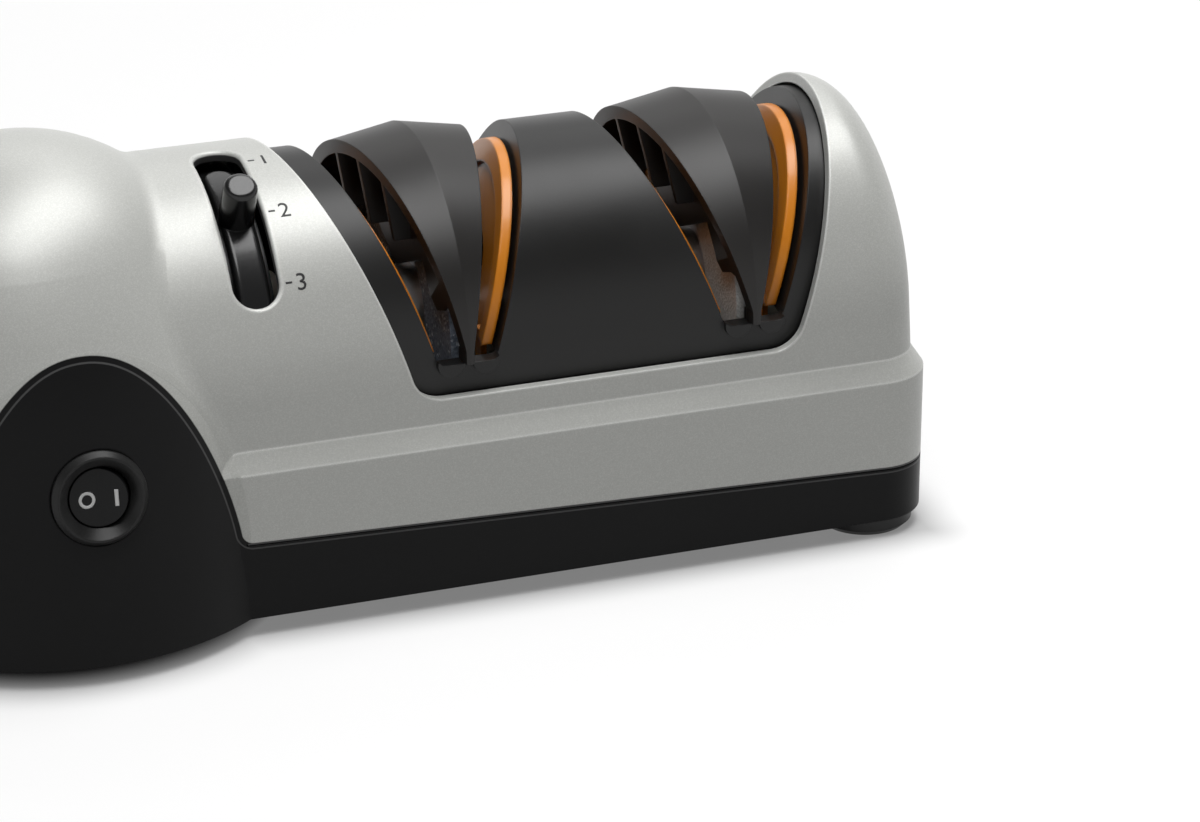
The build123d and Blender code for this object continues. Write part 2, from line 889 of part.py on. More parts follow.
def guide_carriage(side):
    """Two rails under a set of guides, joined at the left by a plate with the cam slot."""
    rail_y = left_rail_y if side < 0 else right_rail_y
    plate_low = rail_floor if side < 0 else rail_floor + carriage_plate + rail_gap
    pin_y = -(pin_drop) * tan(radians(knob_middle - knob_angle))
    lever_turn = radians((knob_thin - knob_thick) / 2)
    cam_reach = pin_drop * tan(lever_turn)
    start = rail_start if side < 0 else selector_x + cam_plate_width / 2 - rail_width
    with BuildPart() as carriage:
        with BuildSketch(Plane.XY.offset(rail_floor)):
            with Locations(((start + rail_end) / 2, 0)):
                with GridLocations(0, 2 * rail_y, 1, 2):
                    Rectangle(rail_end - start, rail_width)
        extrude(amount=rail_height)
        with BuildSketch(Plane.XY.offset(plate_low)):
            with Locations((selector_x, 0)):
                Rectangle(cam_plate_width, 2 * rail_y + rail_width)
        extrude(amount=carriage_plate)
        if side > 0:
            with BuildSketch(Plane.XY.offset(rail_floor)):
                with Locations((selector_x, 0)):
                    Rectangle(cam_plate_width + 2 * cam_cut_back, 2 * rail_y + 2 * rail_width)
            extrude(amount=carriage_plate + rail_gap, mode=Mode.SUBTRACT)
        cam = Plane(
            origin=(selector_x, pin_y, plate_low), x_dir=(side * slot_slope, 1, 0), z_dir=(0, 0, 1)
        )
        with BuildSketch(cam):
            with Locations((-pin_y, 0)):
                SlotOverall(2 * cam_reach + pin_diameter * 2, pin_diameter + cam_play)
        extrude(amount=2 * carriage_plate, mode=Mode.SUBTRACT)
    save(carriage, "left_guide_carriage" if side < 0 else "right_guide_carriage")


def selector_lever():
    """Knob on a curved slide, on a bell-crank that turns about the left bearing boss."""
    strip_outer = arch_radius - wall - strip_clearance
    strip_inner = strip_outer - strip_thickness
    low_end = knob_angle + slot_end - knob_thick + 2
    high_end = knob_angle - (knob_thin - slot_start) - 2
    tongue_top = knob_angle - tongue_reach
    pin_angle = 180 + knob_angle - knob_middle
    arm_length = strip_inner - lever_hub_radius + 2
    with BuildPart() as arms:
        with BuildSketch(end_view(selector_x - lever_plate / 2)):
            with Locations((0, spindle_z)):
                Circle(lever_hub_radius)
            Polygon(
                polar(lever_hub_radius - 1, knob_angle - 60),
                polar(strip_inner + 0.5, knob_angle - 25),
                polar(strip_inner + 0.5, knob_angle + 25),
                polar(lever_hub_radius - 1, knob_angle + 60),
                align=None,
            )
            with Locations(polar(lever_hub_radius + arm_length / 2, knob_angle)):
                Circle(arm_length / 4, mode=Mode.SUBTRACT)
            Polygon(
                polar(lever_hub_radius - 1, pin_angle - 30),
                polar(lever_tail, pin_angle - 5),
                polar(lever_tail, pin_angle + 5),
                polar(lever_hub_radius - 1, pin_angle + 30),
                align=None,
            )
        extrude(amount=lever_plate)
        with BuildSketch(end_view(selector_x - lever_hub_width / 2)):
            with Locations((0, spindle_z)):
                Circle(lever_hub_radius)
        extrude(amount=lever_hub_width)
        with BuildSketch(spoke(selector_x, pin_angle, lever_tail - 3)):
            Circle(pin_diameter / 2)
        extrude(amount=pin_drop + pin_foot - lever_tail + 3)
    with BuildPart() as knob:
        with BuildSketch(spoke(selector_x, knob_angle, strip_inner)):
            Circle(knob_diameter / 2)
        with BuildSketch(spoke(selector_x, knob_angle, strip_outer + knob_height)):
            Circle(knob_top_diameter / 2)
        loft()
        crown = knob.edges().sort_by(Axis((0, 0, spindle_z), spoke(0, knob_angle).z_dir))[-1]
        fillet(crown, radius=knob_round)
    with BuildPart() as tongue:
        add(bar_section(selector_x, tongue_width, strip_outer, strip_inner, tongue_top, low_end))
        crest = tongue.edges().filter_by(lambda edge: spoke_reach(edge) > strip_outer - 0.01)
        fillet(crest, radius=tongue_round)
    with BuildPart() as lever:
        add(arms.part)
        ledge_inner = strip_inner - ledge_drop
        add(bar_section(selector_x, selector_width, strip_inner, ledge_inner, high_end, low_end))
        add(tongue.part)
        add(knob.part)
        with BuildSketch(end_view(selector_x - lever_hub_width)):
            with Locations((0, spindle_z)):
                Circle(boss_radius + running_fit)
        extrude(amount=2 * lever_hub_width, mode=Mode.SUBTRACT)
    save(lever, "selector_lever")


# ---------------------------------------------------------------- switch
def switch_housing():
    """Round snap-in switch body with its sloping bezel ring."""
    bore = rocker_radius + rocker_gap
    with BuildPart() as body:
        with BuildSketch(switch_face.offset(-bezel_seat)):
            Circle(bezel_radius - seam / 2)
        extrude(amount=bezel_seat + bezel_proud)
        top_edge = body.edges().sort_by(Axis((0, 0, 0), switch_face.z_dir))[-1]
        chamfer(top_edge, length=bezel_proud, length2=bezel_proud * 0.7)
        with BuildSketch(switch_face.offset(-switch_depth)):
            Circle(switch_bore - seam / 2)
        extrude(amount=switch_depth - bezel_seat)
        with BuildSketch(switch_face.offset(bezel_proud)):
            Circle(bore + bezel_slope)
        with BuildSketch(switch_face.offset(-rocker_sink)):
            Circle(bore)
        loft(mode=Mode.SUBTRACT)
        with BuildSketch(switch_face.offset(-rocker_sink - rocker_room)):
            Circle(bore)
        extrude(amount=rocker_room, mode=Mode.SUBTRACT)
        pivot = switch_face.offset(-rocker_sink - pivot_depth)
        low_end = pivot.origin - pivot.y_dir * pivot_span
        with BuildSketch(Plane(low_end, x_dir=pivot.x_dir, z_dir=pivot.y_dir)):
            Circle(pivot_radius + running_fit)
        extrude(amount=2 * pivot_span, mode=Mode.SUBTRACT)
    save(body, "switch_housing")


def switch_rocker():
    """Rocker cut from a ball, so that it turns freely in its round bore, with its two pivots."""
    pivot = switch_face.offset(-rocker_sink - pivot_depth)
    with BuildPart() as rocker:
        with Locations(pivot):
            Sphere(rocker_radius)
        with BuildSketch(pivot.offset(-rocker_radius)):
            Rectangle(4 * rocker_radius, 4 * rocker_radius)
        extrude(amount=rocker_radius - rocker_skirt, mode=Mode.SUBTRACT)
        edge = 2 * rocker_radius
        side_view = Plane(pivot.origin - pivot.y_dir * edge, x_dir=pivot.x_dir, z_dir=-pivot.y_dir)
        with BuildSketch(side_view):
            Polygon(
                (-edge, pivot_depth),
                (0, pivot_depth),
                (edge, pivot_depth + edge * tan(radians(2 * rocker_angle))),
                (edge, 2 * edge),
                (-edge, 2 * edge),
                align=None,
            )
        extrude(amount=-2 * edge, mode=Mode.SUBTRACT)
        low_end = pivot.origin - pivot.y_dir * (pivot_span - running_fit)
        with BuildSketch(Plane(low_end, x_dir=pivot.x_dir, z_dir=pivot.y_dir)):
            Circle(pivot_radius)
        extrude(amount=2 * (pivot_span - running_fit))
    save(rocker, "switch_rocker")


def switch_terminals():
    """Two flat terminals on the back of the switch."""
    back = switch_face.offset(-switch_depth)
    with BuildPart() as terminals:
        with BuildSketch(back):
            with GridLocations(terminal_pitch, 0, 2, 1):
                Rectangle(terminal_thickness, terminal_width)
        extrude(amount=-terminal_length)
        left = back.origin - back.x_dir * terminal_pitch
        with BuildSketch(Plane(left, x_dir=back.y_dir, z_dir=back.x_dir)):
            with Locations((0, -terminal_length * 0.6)):
                Circle(terminal_thickness)
        extrude(amount=2 * terminal_pitch, mode=Mode.SUBTRACT)
    save(terminals, "switch_terminals")


# ---------------------------------------------------------------- motor
def stator_core():
    """Laminated ring with inward teeth and pole shoes."""
    start = motor_x - stack_length / 2
    yoke_inner = stack_radius - yoke_width
    bore = rotor_radius + air_gap
    with BuildPart() as core:
        with BuildSketch(end_view(start)):
            with Locations((0, spindle_z)):
                Circle(stack_radius)
                Circle(yoke_inner, mode=Mode.SUBTRACT)
                with PolarLocations((yoke_inner + bore) / 2, tooth_count):
                    Rectangle(yoke_inner - bore + 1, tooth_width)
                with PolarLocations(bore + shoe_thickness / 2, tooth_count):
                    Rectangle(shoe_thickness, 2 * bore * sin(radians(shoe_span / 2)))
                Circle(bore, mode=Mode.SUBTRACT)
                with PolarLocations(tie_circle, 4, start_angle=45):
                    Circle(tie_radius + running_fit, mode=Mode.SUBTRACT)
        extrude(amount=stack_length)
    save(core, "stator_core")


def stator_windings():
    """One coil round each stator tooth."""
    start = motor_x - stack_length / 2 - coil_end
    yoke_inner = stack_radius - yoke_width
    half_width = tooth_width / 2 + coil_width
    middle = sqrt(yoke_inner**2 - half_width**2) - seam - coil_height / 2
    with BuildPart() as coils:
        with BuildSketch(end_view(start)):
            with Locations((0, spindle_z)):
                with PolarLocations(middle, tooth_count):
                    Rectangle(coil_height, tooth_width + 2 * coil_width)
        extrude(amount=stack_length + 2 * coil_end)
        with BuildSketch(end_view(motor_x - stack_length / 2 - running_fit)):
            with Locations((0, spindle_z)):
                with PolarLocations(middle, tooth_count):
                    Rectangle(coil_height + 1, tooth_width + 2 * running_fit)
        extrude(amount=stack_length + 2 * running_fit, mode=Mode.SUBTRACT)
    save(coils, "stator_windings")


def rotor_core():
    """Slotted rotor stack on the motor shaft."""
    with BuildPart() as core:
        with BuildSketch(end_view(motor_x - stack_length / 2)):
            with Locations((0, spindle_z)):
                Circle(rotor_radius)
                Circle(shaft_radius, mode=Mode.SUBTRACT)
                with PolarLocations(rotor_radius - 2, rotor_slots):
                    Rectangle(5, 2, mode=Mode.SUBTRACT)
        extrude(amount=stack_length)
    save(core, "rotor_core")


def motor_bracket(end, name):
    """End plate with a bearing boss, windows, tie-bolt holes and a foot flange."""
    face = motor_x + end * (stack_length / 2 + bracket_gap)
    start = min(face, face + end * bracket_thickness)
    foot_z = motor_post_top + pad_thickness
    flange_start = min(face, face + end * bracket_foot)
    with BuildPart() as bracket:
        with BuildSketch(end_view(start)):
            with Locations((0, spindle_z)):
                Circle(stack_radius)
            with Locations((0, (foot_z + spindle_z) / 2)):
                Rectangle(2 * (motor_post_y + motor_post_radius), spindle_z - foot_z)
            with Locations((0, spindle_z)):
                with PolarLocations(stack_radius * 0.6, 4):
                    Circle(stack_radius * 0.2, mode=Mode.SUBTRACT)
                with PolarLocations(tie_circle, 4, start_angle=45):
                    Circle(tie_radius + running_fit, mode=Mode.SUBTRACT)
        extrude(amount=bracket_thickness)
        with BuildSketch(end_view(min(face, face + end * bearing_width))):
            with Locations((0, spindle_z)):
                Circle(bearing_radius + wall)
        extrude(amount=bearing_width)
        with BuildSketch(Plane.XY.offset(foot_z)):
            with Locations((flange_start + bracket_foot / 2, 0)):
                Rectangle(bracket_foot, 2 * (motor_post_y + motor_post_radius))
        extrude(amount=bracket_thickness)
        with BuildSketch(end_view(motor_x - stack_length * 2)):
            with Locations((0, spindle_z)):
                Circle(bearing_radius)
        extrude(amount=stack_length * 4, mode=Mode.SUBTRACT)
        with BuildSketch(Plane.XY.offset(foot_z)):
            with Locations(*motor_post_places()):
                Circle(screw_radius)
        extrude(amount=bracket_thickness, mode=Mode.SUBTRACT)
    save(bracket, name)


def motor_bearing(end, name):
    """Ball bearing in the end plate, with its seal groove on both faces."""
    face = motor_x + end * (stack_length / 2 + bracket_gap)
    start = min(face, face + end * bearing_width)
    middle = (bearing_radius + shaft_radius) / 2
    with BuildPart() as bearing:
        add(ring_form(bearing_radius, shaft_radius + running_fit, start, start + bearing_width))
        add(ring_form(middle + 1, middle - 1, start, start + running_fit * 8), mode=Mode.SUBTRACT)
        add(
            ring_form(middle + 1, middle - 1, start + bearing_width - running_fit * 8, start + bearing_width),
            mode=Mode.SUBTRACT,
        )
    save(bearing, name)


def motor_tie_bolts():
    """Four bolts that clamp the end plates to the stator."""
    reach = stack_length / 2 + bracket_gap + bracket_thickness
    with BuildPart() as bolts:
        with BuildSketch(end_view(motor_x - reach)):
            with Locations((0, spindle_z)):
                with PolarLocations(tie_circle, 4, start_angle=45):
                    Circle(tie_radius)
        extrude(amount=2 * reach)
        for x in (motor_x - reach - tie_radius, motor_x + reach):
            with BuildSketch(end_view(x)):
                with Locations((0, spindle_z)):
                    with PolarLocations(tie_circle, 4, start_angle=45):
                        RegularPolygon(tie_radius * 1.8, 6)
            extrude(amount=tie_radius)
    save(bolts, "motor_tie_bolts")


def motor_pads():
    """Rubber pads between the motor feet and their posts."""
    with BuildPart() as pads:
        with BuildSketch(Plane.XY.offset(motor_post_top)):
            with Locations(*motor_post_places()):
                Circle(motor_post_radius)
                Circle(screw_radius, mode=Mode.SUBTRACT)
        extrude(amount=pad_thickness)
    save(pads, "motor_pads")


def shaft(start, stop, name):
    """Round steel shaft with chamfered ends."""
    with BuildPart() as bar:
        with BuildSketch(end_view(start)):
            with Locations((0, spindle_z)):
                Circle(shaft_radius)
        extrude(amount=stop - start)
        chamfer(bar.edges().filter_by(GeomType.CIRCLE), length=0.6)
    save(bar, name)


def cooling_fan():
    """Moulded fan: hub, back disc and radial blades."""
    with BuildPart() as fan:
        with BuildSketch(end_view(fan_x)):
            with Locations((0, spindle_z)):
                Circle(fan_radius)
        extrude(amount=fan_plate)
        with BuildSketch(end_view(fan_x)):
            with Locations((0, spindle_z)):
                Circle(fan_hub_radius)
                with PolarLocations((fan_radius + fan_hub_radius) / 2 - fan_plate, fan_blades):
                    Rectangle(fan_radius - fan_hub_radius, fan_plate)
        extrude(amount=fan_width)
        with BuildSketch(end_view(fan_x)):
            with Locations((0, spindle_z)):
                Circle(shaft_radius)
        extrude(amount=fan_width, mode=Mode.SUBTRACT)
    save(fan, "cooling_fan")


# ---------------------------------------------------------------- coupling and spindle
def coupling_hub(start, jaw_start, turn, name):
    """Jaw coupling half: a hub with two jaws."""
    with BuildPart() as hub:
        add(ring_form(coupling_radius, shaft_radius, start, start + coupling_body))
        with BuildSketch(end_view(jaw_start)):
            for side in (0, 180):
                Polygon(
                    (0, spindle_z),
                    polar(2 * coupling_radius, turn + side - jaw_angle / 2),
                    polar(2 * coupling_radius, turn + side + jaw_angle / 2),
                    align=None,
                )
            with Locations((0, spindle_z)):
                Circle(coupling_radius, mode=Mode.INTERSECT)
                Circle(coupling_core, mode=Mode.SUBTRACT)
        extrude(amount=jaw_length)
    save(hub, name)


def coupling_spider():
    """Rubber star between the jaws."""
    star_angle = 90 - jaw_angle - 2 * jaw_play
    with BuildPart() as spider:
        with BuildSketch(end_view(coupling_x - jaw_length / 2 + running_fit)):
            for turn in (45, 135, 225, 315):
                Polygon(
                    (0, spindle_z),
                    polar(2 * coupling_radius, turn - star_angle / 2),
                    polar(2 * coupling_radius, turn + star_angle / 2),
                    align=None,
                )
            with Locations((0, spindle_z)):
                Circle(coupling_radius - running_fit, mode=Mode.INTERSECT)
                Circle(coupling_core - running_fit)
        extrude(amount=jaw_length - 2 * running_fit)
        fillet(spider.edges().filter_by(Axis.X).group_by(lambda e: round(spoke_reach(e), 1))[-1], radius=0.8)
    save(spider, "coupling_spider")


def spoke_reach(edge):
    """Distance of an edge's middle from the spindle axis."""
    middle = edge.center()
    return Vector(0, middle.Y, middle.Z - spindle_z).length


def bearing_block(index):
    """Upright that carries the spindle, on a screwed flange; the left one has the selector's boss."""
    x = block_x[index]
    with BuildPart() as block:
        with BuildSketch(end_view(x - block_thickness / 2)) as outline:
            Polygon(
                (-block_width / 2, floor_top),
                (block_width / 2, floor_top),
                (block_head, spindle_z),
                (-block_head, spindle_z),
                align=None,
            )
            with Locations((0, spindle_z)):
                Circle(block_head)
        extrude(amount=block_thickness)
        with BuildSketch(end_view(x - block_thickness / 2)):
            with Locations((0, (floor_top + spindle_z) / 2 - bush_radius)):
                SlotOverall(block_width / 2, block_head, rotation=90)
        extrude(amount=block_thickness, mode=Mode.SUBTRACT)
        with BuildSketch(Plane.XY.offset(floor_top)):
            with Locations((x, 0)):
                Rectangle(flange_length, flange_width)
        extrude(amount=flange_thickness)
        if index == 0:
            add(ring_form(boss_radius, shaft_radius, x - block_thickness / 2 - boss_length, x))
            ring_x = x - block_thickness / 2 - boss_length + ring_inset
            groove = ring_form(boss_radius + 1, ring_groove, ring_x, ring_x + ring_thickness)
            add(groove, mode=Mode.SUBTRACT)
        with BuildSketch(end_view(x - block_thickness / 2 - boss_length)):
            with Locations((0, spindle_z)):
                Circle(bush_radius)
        extrude(amount=boss_length + block_thickness, mode=Mode.SUBTRACT)
        with BuildSketch(Plane.XY.offset(floor_top)):
            with Locations((x, block_screw_y), (x, -block_screw_y)):
                Circle(screw_radius)
        extrude(amount=flange_thickness, mode=Mode.SUBTRACT)
    save(block, f"bearing_block_{block_names[index]}")


def spindle_bush(index):
    """Sintered bush of a bearing block."""
    start = block_x[index] - block_thickness / 2
    if index == 0:
        start = start - boss_length
    stop = block_x[index] + block_thickness / 2
    with BuildPart() as bush:
        add(ring_form(bush_radius, shaft_radius + running_fit, start, stop))
    save(bush, f"spindle_bush_{block_names[index]}")


def selector_ring():
    """Spring ring that keeps the selector on its boss."""
    ring_x = block_x[0] - block_thickness / 2 - boss_length + ring_inset
    with BuildPart() as ring:
        bore = ring_groove + running_fit
        add(ring_form(ring_radius, bore, ring_x + running_fit, ring_x + ring_thickness - running_fit))
        with BuildSketch(end_view(ring_x)):
            with Locations((0, spindle_z - ring_radius)):
                Rectangle(ring_radius / 2, ring_radius)
        extrude(amount=ring_thickness, mode=Mode.SUBTRACT)
    save(ring, "selector_ring")


def wheel_hub(index):
    """Turned hub with the thin flange that backs the two abrasive discs."""
    x = station_x[index]
    with BuildPart() as hub:
        add(ring_form(wheel_hub_radius, shaft_radius, x - wheel_hub_length / 2, x + wheel_hub_length / 2))
        add(ring_form(disc_radius - 1, shaft_radius, x - disc_backing / 2, x + disc_backing / 2))
        chamfer(hub.edges().filter_by(GeomType.CIRCLE).group_by(Axis.X)[0], length=0.5)
        chamfer(hub.edges().filter_by(GeomType.CIRCLE).group_by(Axis.X)[-1], length=0.5)
    save(hub, f"{wheel_names[index]}_wheel_hub")


def abrasive_disc(index, side):
    """Flat abrasive ring on one face of a wheel."""
    inner_face = station_x[index] + side * disc_backing / 2
    start = min(inner_face, inner_face + side * disc_thickness)
    with BuildPart() as disc:
        add(ring_form(disc_radius, disc_bore, start, start + disc_thickness))
    save(disc, f"{wheel_names[index]}_disc_{'left' if side < 0 else 'right'}")


def spindle_clips():
    """Spring clips beside the wheels and at the right end of the spindle."""
    places = [x + side * (wheel_hub_length / 2 + running_fit) for x in station_x for side in (-1, 1)]
    places.append(block_x[2] + block_thickness / 2 + seam)
    with BuildPart() as clips:
        for place in places:
            start = place - ring_thickness if place in places[:-1:2] else place
            add(ring_form(clip_radius, shaft_radius, start, start + ring_thickness))
            with BuildSketch(end_view(start)):
                with Locations((0, spindle_z - clip_radius)):
                    Rectangle(shaft_radius * 1.4, clip_radius)
            extrude(amount=ring_thickness, mode=Mode.SUBTRACT)
    save(clips, "spindle_clips")


# ---------------------------------------------------------------- feet, screws and inlet
def foot(index):
    """Round rubber foot with a stub that presses into the base."""
    with BuildPart() as pad:
        with BuildSketch(Plane.XY):
            with Locations(foot_places[index]):
                Circle(foot_radius)
        extrude(amount=foot_height)
        chamfer(pad.edges().group_by(Axis.Z)[0], length=foot_round)
        with BuildSketch(Plane.XY.offset(foot_height)):
            with Locations(foot_places[index]):
                Circle(stub_radius)
        extrude(amount=wall)
    save(pad, foot_names[index])


def screws(places, head_z, tip_z, name):
    """Pan-head screws: head_z is the head's bearing face, and the tip may be above or below it."""
    down = -1 if tip_z < head_z else 1
    with BuildPart() as group:
        with BuildSketch(Plane.XY.offset(head_z)):
            with Locations(*places):
                Circle(screw_radius - running_fit)
        extrude(amount=tip_z - head_z)
        with BuildSketch(Plane.XY.offset(head_z)):
            with Locations(*places):
                Circle(screw_head_radius)
        extrude(amount=-down * screw_head_height)
    save(group, name)


def cord_bushing():
    """Rubber bushing in the cord inlet, with its bore open."""
    with BuildPart() as bushing:
        with BuildSketch(bushing_face.offset(-2 * wall)):
            Circle(bushing_radius)
        extrude(amount=2 * wall)
        with BuildSketch(bushing_face.offset(-bushing_seat)):
            Circle(bushing_radius + bushing_flange)
        extrude(amount=bushing_lip)
        with BuildSketch(bushing_face.offset(-2 * wall)):
            Circle(cord_bore)
        extrude(amount=4 * wall, mode=Mode.SUBTRACT)
    save(bushing, "cord_bushing")


# ---------------------------------------------------------------- build every piece
upper_housing()
base_housing()
sharpening_cover()
switch_housing()
switch_rocker()
switch_terminals()
selector_lever()
selector_ring()
for station in (0, 1):
    wheel_hood(station)
    wheel_hub(station)
    for hand in (-1, 1):
        blade_guide(station, hand)
        abrasive_disc(station, hand)
for hand in (-1, 1):
    guide_carriage(hand)
for number in (0, 1, 2):
    bearing_block(number)
    spindle_bush(number)
stator_core()
stator_windings()
rotor_core()
motor_bracket(1, "motor_bracket_front")
motor_bracket(-1, "motor_bracket_rear")
motor_bearing(1, "motor_bearing_front")
motor_bearing(-1, "motor_bearing_rear")
motor_tie_bolts()
motor_pads()
cooling_fan()
jaws_left = coupling_x - jaw_length / 2
jaws_right = coupling_x + jaw_length / 2
shaft(fan_x - 2 * seam, jaws_left - seam, "motor_shaft")
shaft(jaws_right + seam, block_x[2] + block_thickness, "spindle_shaft")
coupling_hub(jaws_left - coupling_body, jaws_left, 0, "coupling_hub_motor")
coupling_hub(jaws_right, jaws_left, 90, "coupling_hub_spindle")
coupling_spider()
spindle_clips()
for number in (0, 1, 2, 3):
    foot(number)
screws(post_places, base_z + screw_recess, floor_top + screw_length, "housing_screws")
screws(motor_post_places(), motor_post_top + pad_thickness + bracket_thickness, floor_top, "motor_screws")
screws(block_screw_places(), floor_top + flange_thickness, base_z + 1, "bearing_block_screws")
cord_bushing()
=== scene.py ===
import math

import bmesh
import bpy
from mathutils import Matrix, Vector
from mathutils.bvhtree import BVHTree


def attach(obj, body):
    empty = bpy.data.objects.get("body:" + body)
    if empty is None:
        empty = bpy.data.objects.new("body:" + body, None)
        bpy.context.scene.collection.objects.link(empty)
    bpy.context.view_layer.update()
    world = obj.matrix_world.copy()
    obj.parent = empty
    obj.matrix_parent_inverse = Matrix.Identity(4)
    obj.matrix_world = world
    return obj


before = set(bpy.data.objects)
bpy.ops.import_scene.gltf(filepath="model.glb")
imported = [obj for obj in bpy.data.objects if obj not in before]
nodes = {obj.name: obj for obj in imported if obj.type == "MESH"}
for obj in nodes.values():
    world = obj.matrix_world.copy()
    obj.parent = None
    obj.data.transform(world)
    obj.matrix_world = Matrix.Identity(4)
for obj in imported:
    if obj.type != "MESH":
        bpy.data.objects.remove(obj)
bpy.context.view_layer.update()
bpy.context.scene.view_settings.view_transform = "Standard"
MM = 0.001

# Places of the solids, in mm.
SPINDLE_Z = 61.3
BAR_RADIUS = 46.0
SELECTOR_X, SLOT_REACH = -33.6, 6.5
DOME_X = -78.5
SPLIT_HALF_WIDTH, SPLIT_Z, SPLIT_RISE = 37.3, 25.9, 53.6
BASE_TOP_Z, BASE_TOP_SLOPE = 23.3, -0.0332

# The black panel's painted outline, in mm: a half oval whose two powers make it slimmer than an ellipse.
PANEL_X, PANEL_Z = -79.5, 23.4
PANEL_HALF_WIDTH, PANEL_RISE = 37.86, 56.6
PANEL_POWER_X, PANEL_POWER_Z = 2.095, 1.386

# The paint's edge, in mm. The gap above the base is a bare dark strip of the shell, painted shade for the
# seam's groove; the joint line, on the black side, is a painted highlight for the panel's rounded edge.
PAINTED_SHADE_GAP = 0.8
PAINT_CORNER = 2.4
PAINT_BLUR = 0.15
PAINTED_HIGHLIGHT_INSET = 1.5
FRONT_Y = (-24.0, -20.0)

# The ribbon of paint over the seam: node under it, place across the seam and lift, in mm.
RIBBON = (
    ("base_housing", -0.95, -0.03),
    ("base_housing", -0.65, 0.035),
    (None, 0.15, 0.04),
    ("upper_housing", 0.95, 0.035),
    ("upper_housing", 1.25, -0.03),
)
RIBBON_ANGLES = (-0.5, 163.0)
RIBBON_STEPS = 272
RIBBON_DEPTH = 0.3
RAY_START_Y = -90.0

# Printed marks, in mm and degrees.
MARK_LIFT, MARK_SINK = 0.05, 0.12
POSITION_ANGLES = (8.0, 32.0, 56.0)
NUMERAL_X, NUMERAL_HEIGHT = -22.5, 4.2
TICK_X, TICK_HALF_LENGTH, TICK_HALF_WIDTH = -25.6, 0.8, 0.25
SWITCH_MIDDLE = Vector((DOME_X, -58.42, 47.5))
SWITCH_LEAN = 8.0

# The camera: place in mm, turn and tilt in degrees, focal length in widths of the picture.
CAMERA_PLACE = Vector((-273.6, -957.3, 476.1))
CAMERA_TURN, CAMERA_TILT = 19.57, 24.0
FOCAL_WIDTHS = 4298.0 / 1200.0
SENSOR_WIDTH = 36.0


# ---------------------------------------------------------------- node helpers
def new_material(name):
    mat = bpy.data.materials.new(name)
    mat.use_nodes = True
    tree = mat.node_tree
    tree.nodes.clear()
    out = tree.nodes.new("ShaderNodeOutputMaterial")
    shader = tree.nodes.new("ShaderNodeBsdfPrincipled")
    tree.links.new(shader.outputs["BSDF"], out.inputs["Surface"])
    return mat, tree, shader


def object_space(tree, scale=(1, 1, 1)):
    place = tree.nodes.new("ShaderNodeTexCoord")
    mapping = tree.nodes.new("ShaderNodeMapping")
    mapping.inputs["Scale"].default_value = scale
    tree.links.new(place.outputs["Object"], mapping.inputs["Vector"])
    return mapping.outputs["Vector"]


def noise(tree, where, scale, detail=4.0):
    node = tree.nodes.new("ShaderNodeTexNoise")
    node.inputs["Scale"].default_value = scale
    node.inputs["Detail"].default_value = detail
    node.inputs["Roughness"].default_value = 0.55
    tree.links.new(where, node.inputs["Vector"])
    return node.outputs["Fac"]


def cells(tree, where, scale, output="Distance"):
    node = tree.nodes.new("ShaderNodeTexVoronoi")
    node.inputs["Scale"].default_value = scale
    tree.links.new(where, node.inputs["Vector"])
    return node.outputs[output]


def bands(tree, where, direction, scale, distortion):
    node = tree.nodes.new("ShaderNodeTexWave")
    node.wave_type = "BANDS"
    node.bands_direction = direction
    node.inputs["Scale"].default_value = scale
    node.inputs["Distortion"].default_value = distortion
    tree.links.new(where, node.inputs["Vector"])
    return node.outputs["Fac"]


def channel(tree, colour, name):
    """One channel of a colour."""
    node = tree.nodes.new("ShaderNodeSeparateColor")
    tree.links.new(colour, node.inputs["Color"])
    return node.outputs[name]


def ramp(tree, value, stops):
    node = tree.nodes.new("ShaderNodeValToRGB")
    elements = node.color_ramp.elements
    while len(elements) < len(stops):
        elements.new(0.5)
    for element, (place, colour) in zip(elements, stops):
        element.position = place
        element.color = (*colour, 1.0)
    tree.links.new(value, node.inputs["Fac"])
    return node.outputs["Color"]


def spread(tree, value, low, high):
    """The middle of a noise, 0.3 to 0.7, stretched to low and high."""
    node = tree.nodes.new("ShaderNodeMapRange")
    node.inputs["From Min"].default_value = 0.3
    node.inputs["From Max"].default_value = 0.7
    node.inputs["To Min"].default_value = low
    node.inputs["To Max"].default_value = high
    tree.links.new(value, node.inputs["Value"])
    return node.outputs["Result"]


def put(tree, socket, value):
    """Sets a socket to a number or a plain colour, or links another socket to it."""
    if isinstance(value, (int, float)):
        socket.default_value = value
    elif isinstance(value, tuple):
        socket.default_value = (*value, 1.0)
    else:
        tree.links.new(value, socket)


def math_node(tree, operation, *values):
    node = tree.nodes.new("ShaderNodeMath")
    node.operation = operation
    for place, value in enumerate(values):
        put(tree, node.inputs[place], value)
    return node.outputs["Value"]


def plus(tree, first, second):
    return math_node(tree, "ADD", first, second)


def minus(tree, first, second):
    return math_node(tree, "SUBTRACT", first, second)


def times(tree, first, second):
    return math_node(tree, "MULTIPLY", first, second)


def over(tree, first, second):
    return math_node(tree, "DIVIDE", first, second)


def power(tree, value, exponent):
    return math_node(tree, "POWER", value, exponent)


def larger(tree, first, second):
    return math_node(tree, "MAXIMUM", first, second)


def apart(tree, value, place):
    """Distance of a value from a place on its axis."""
    return math_node(tree, "ABSOLUTE", minus(tree, value, place))


def hypot(tree, first, second):
    """Length of a way with two legs at right angles."""
    return math_node(tree, "SQRT", plus(tree, power(tree, first, 2.0), power(tree, second, 2.0)))


def axes(tree):
    """The three coordinates of the CAD frame, in millimetres."""
    place = tree.nodes.new("ShaderNodeTexCoord")
    parts = tree.nodes.new("ShaderNodeSeparateXYZ")
    tree.links.new(place.outputs["Object"], parts.inputs["Vector"])
    return [times(tree, parts.outputs[axis], 1 / MM) for axis in "XYZ"]


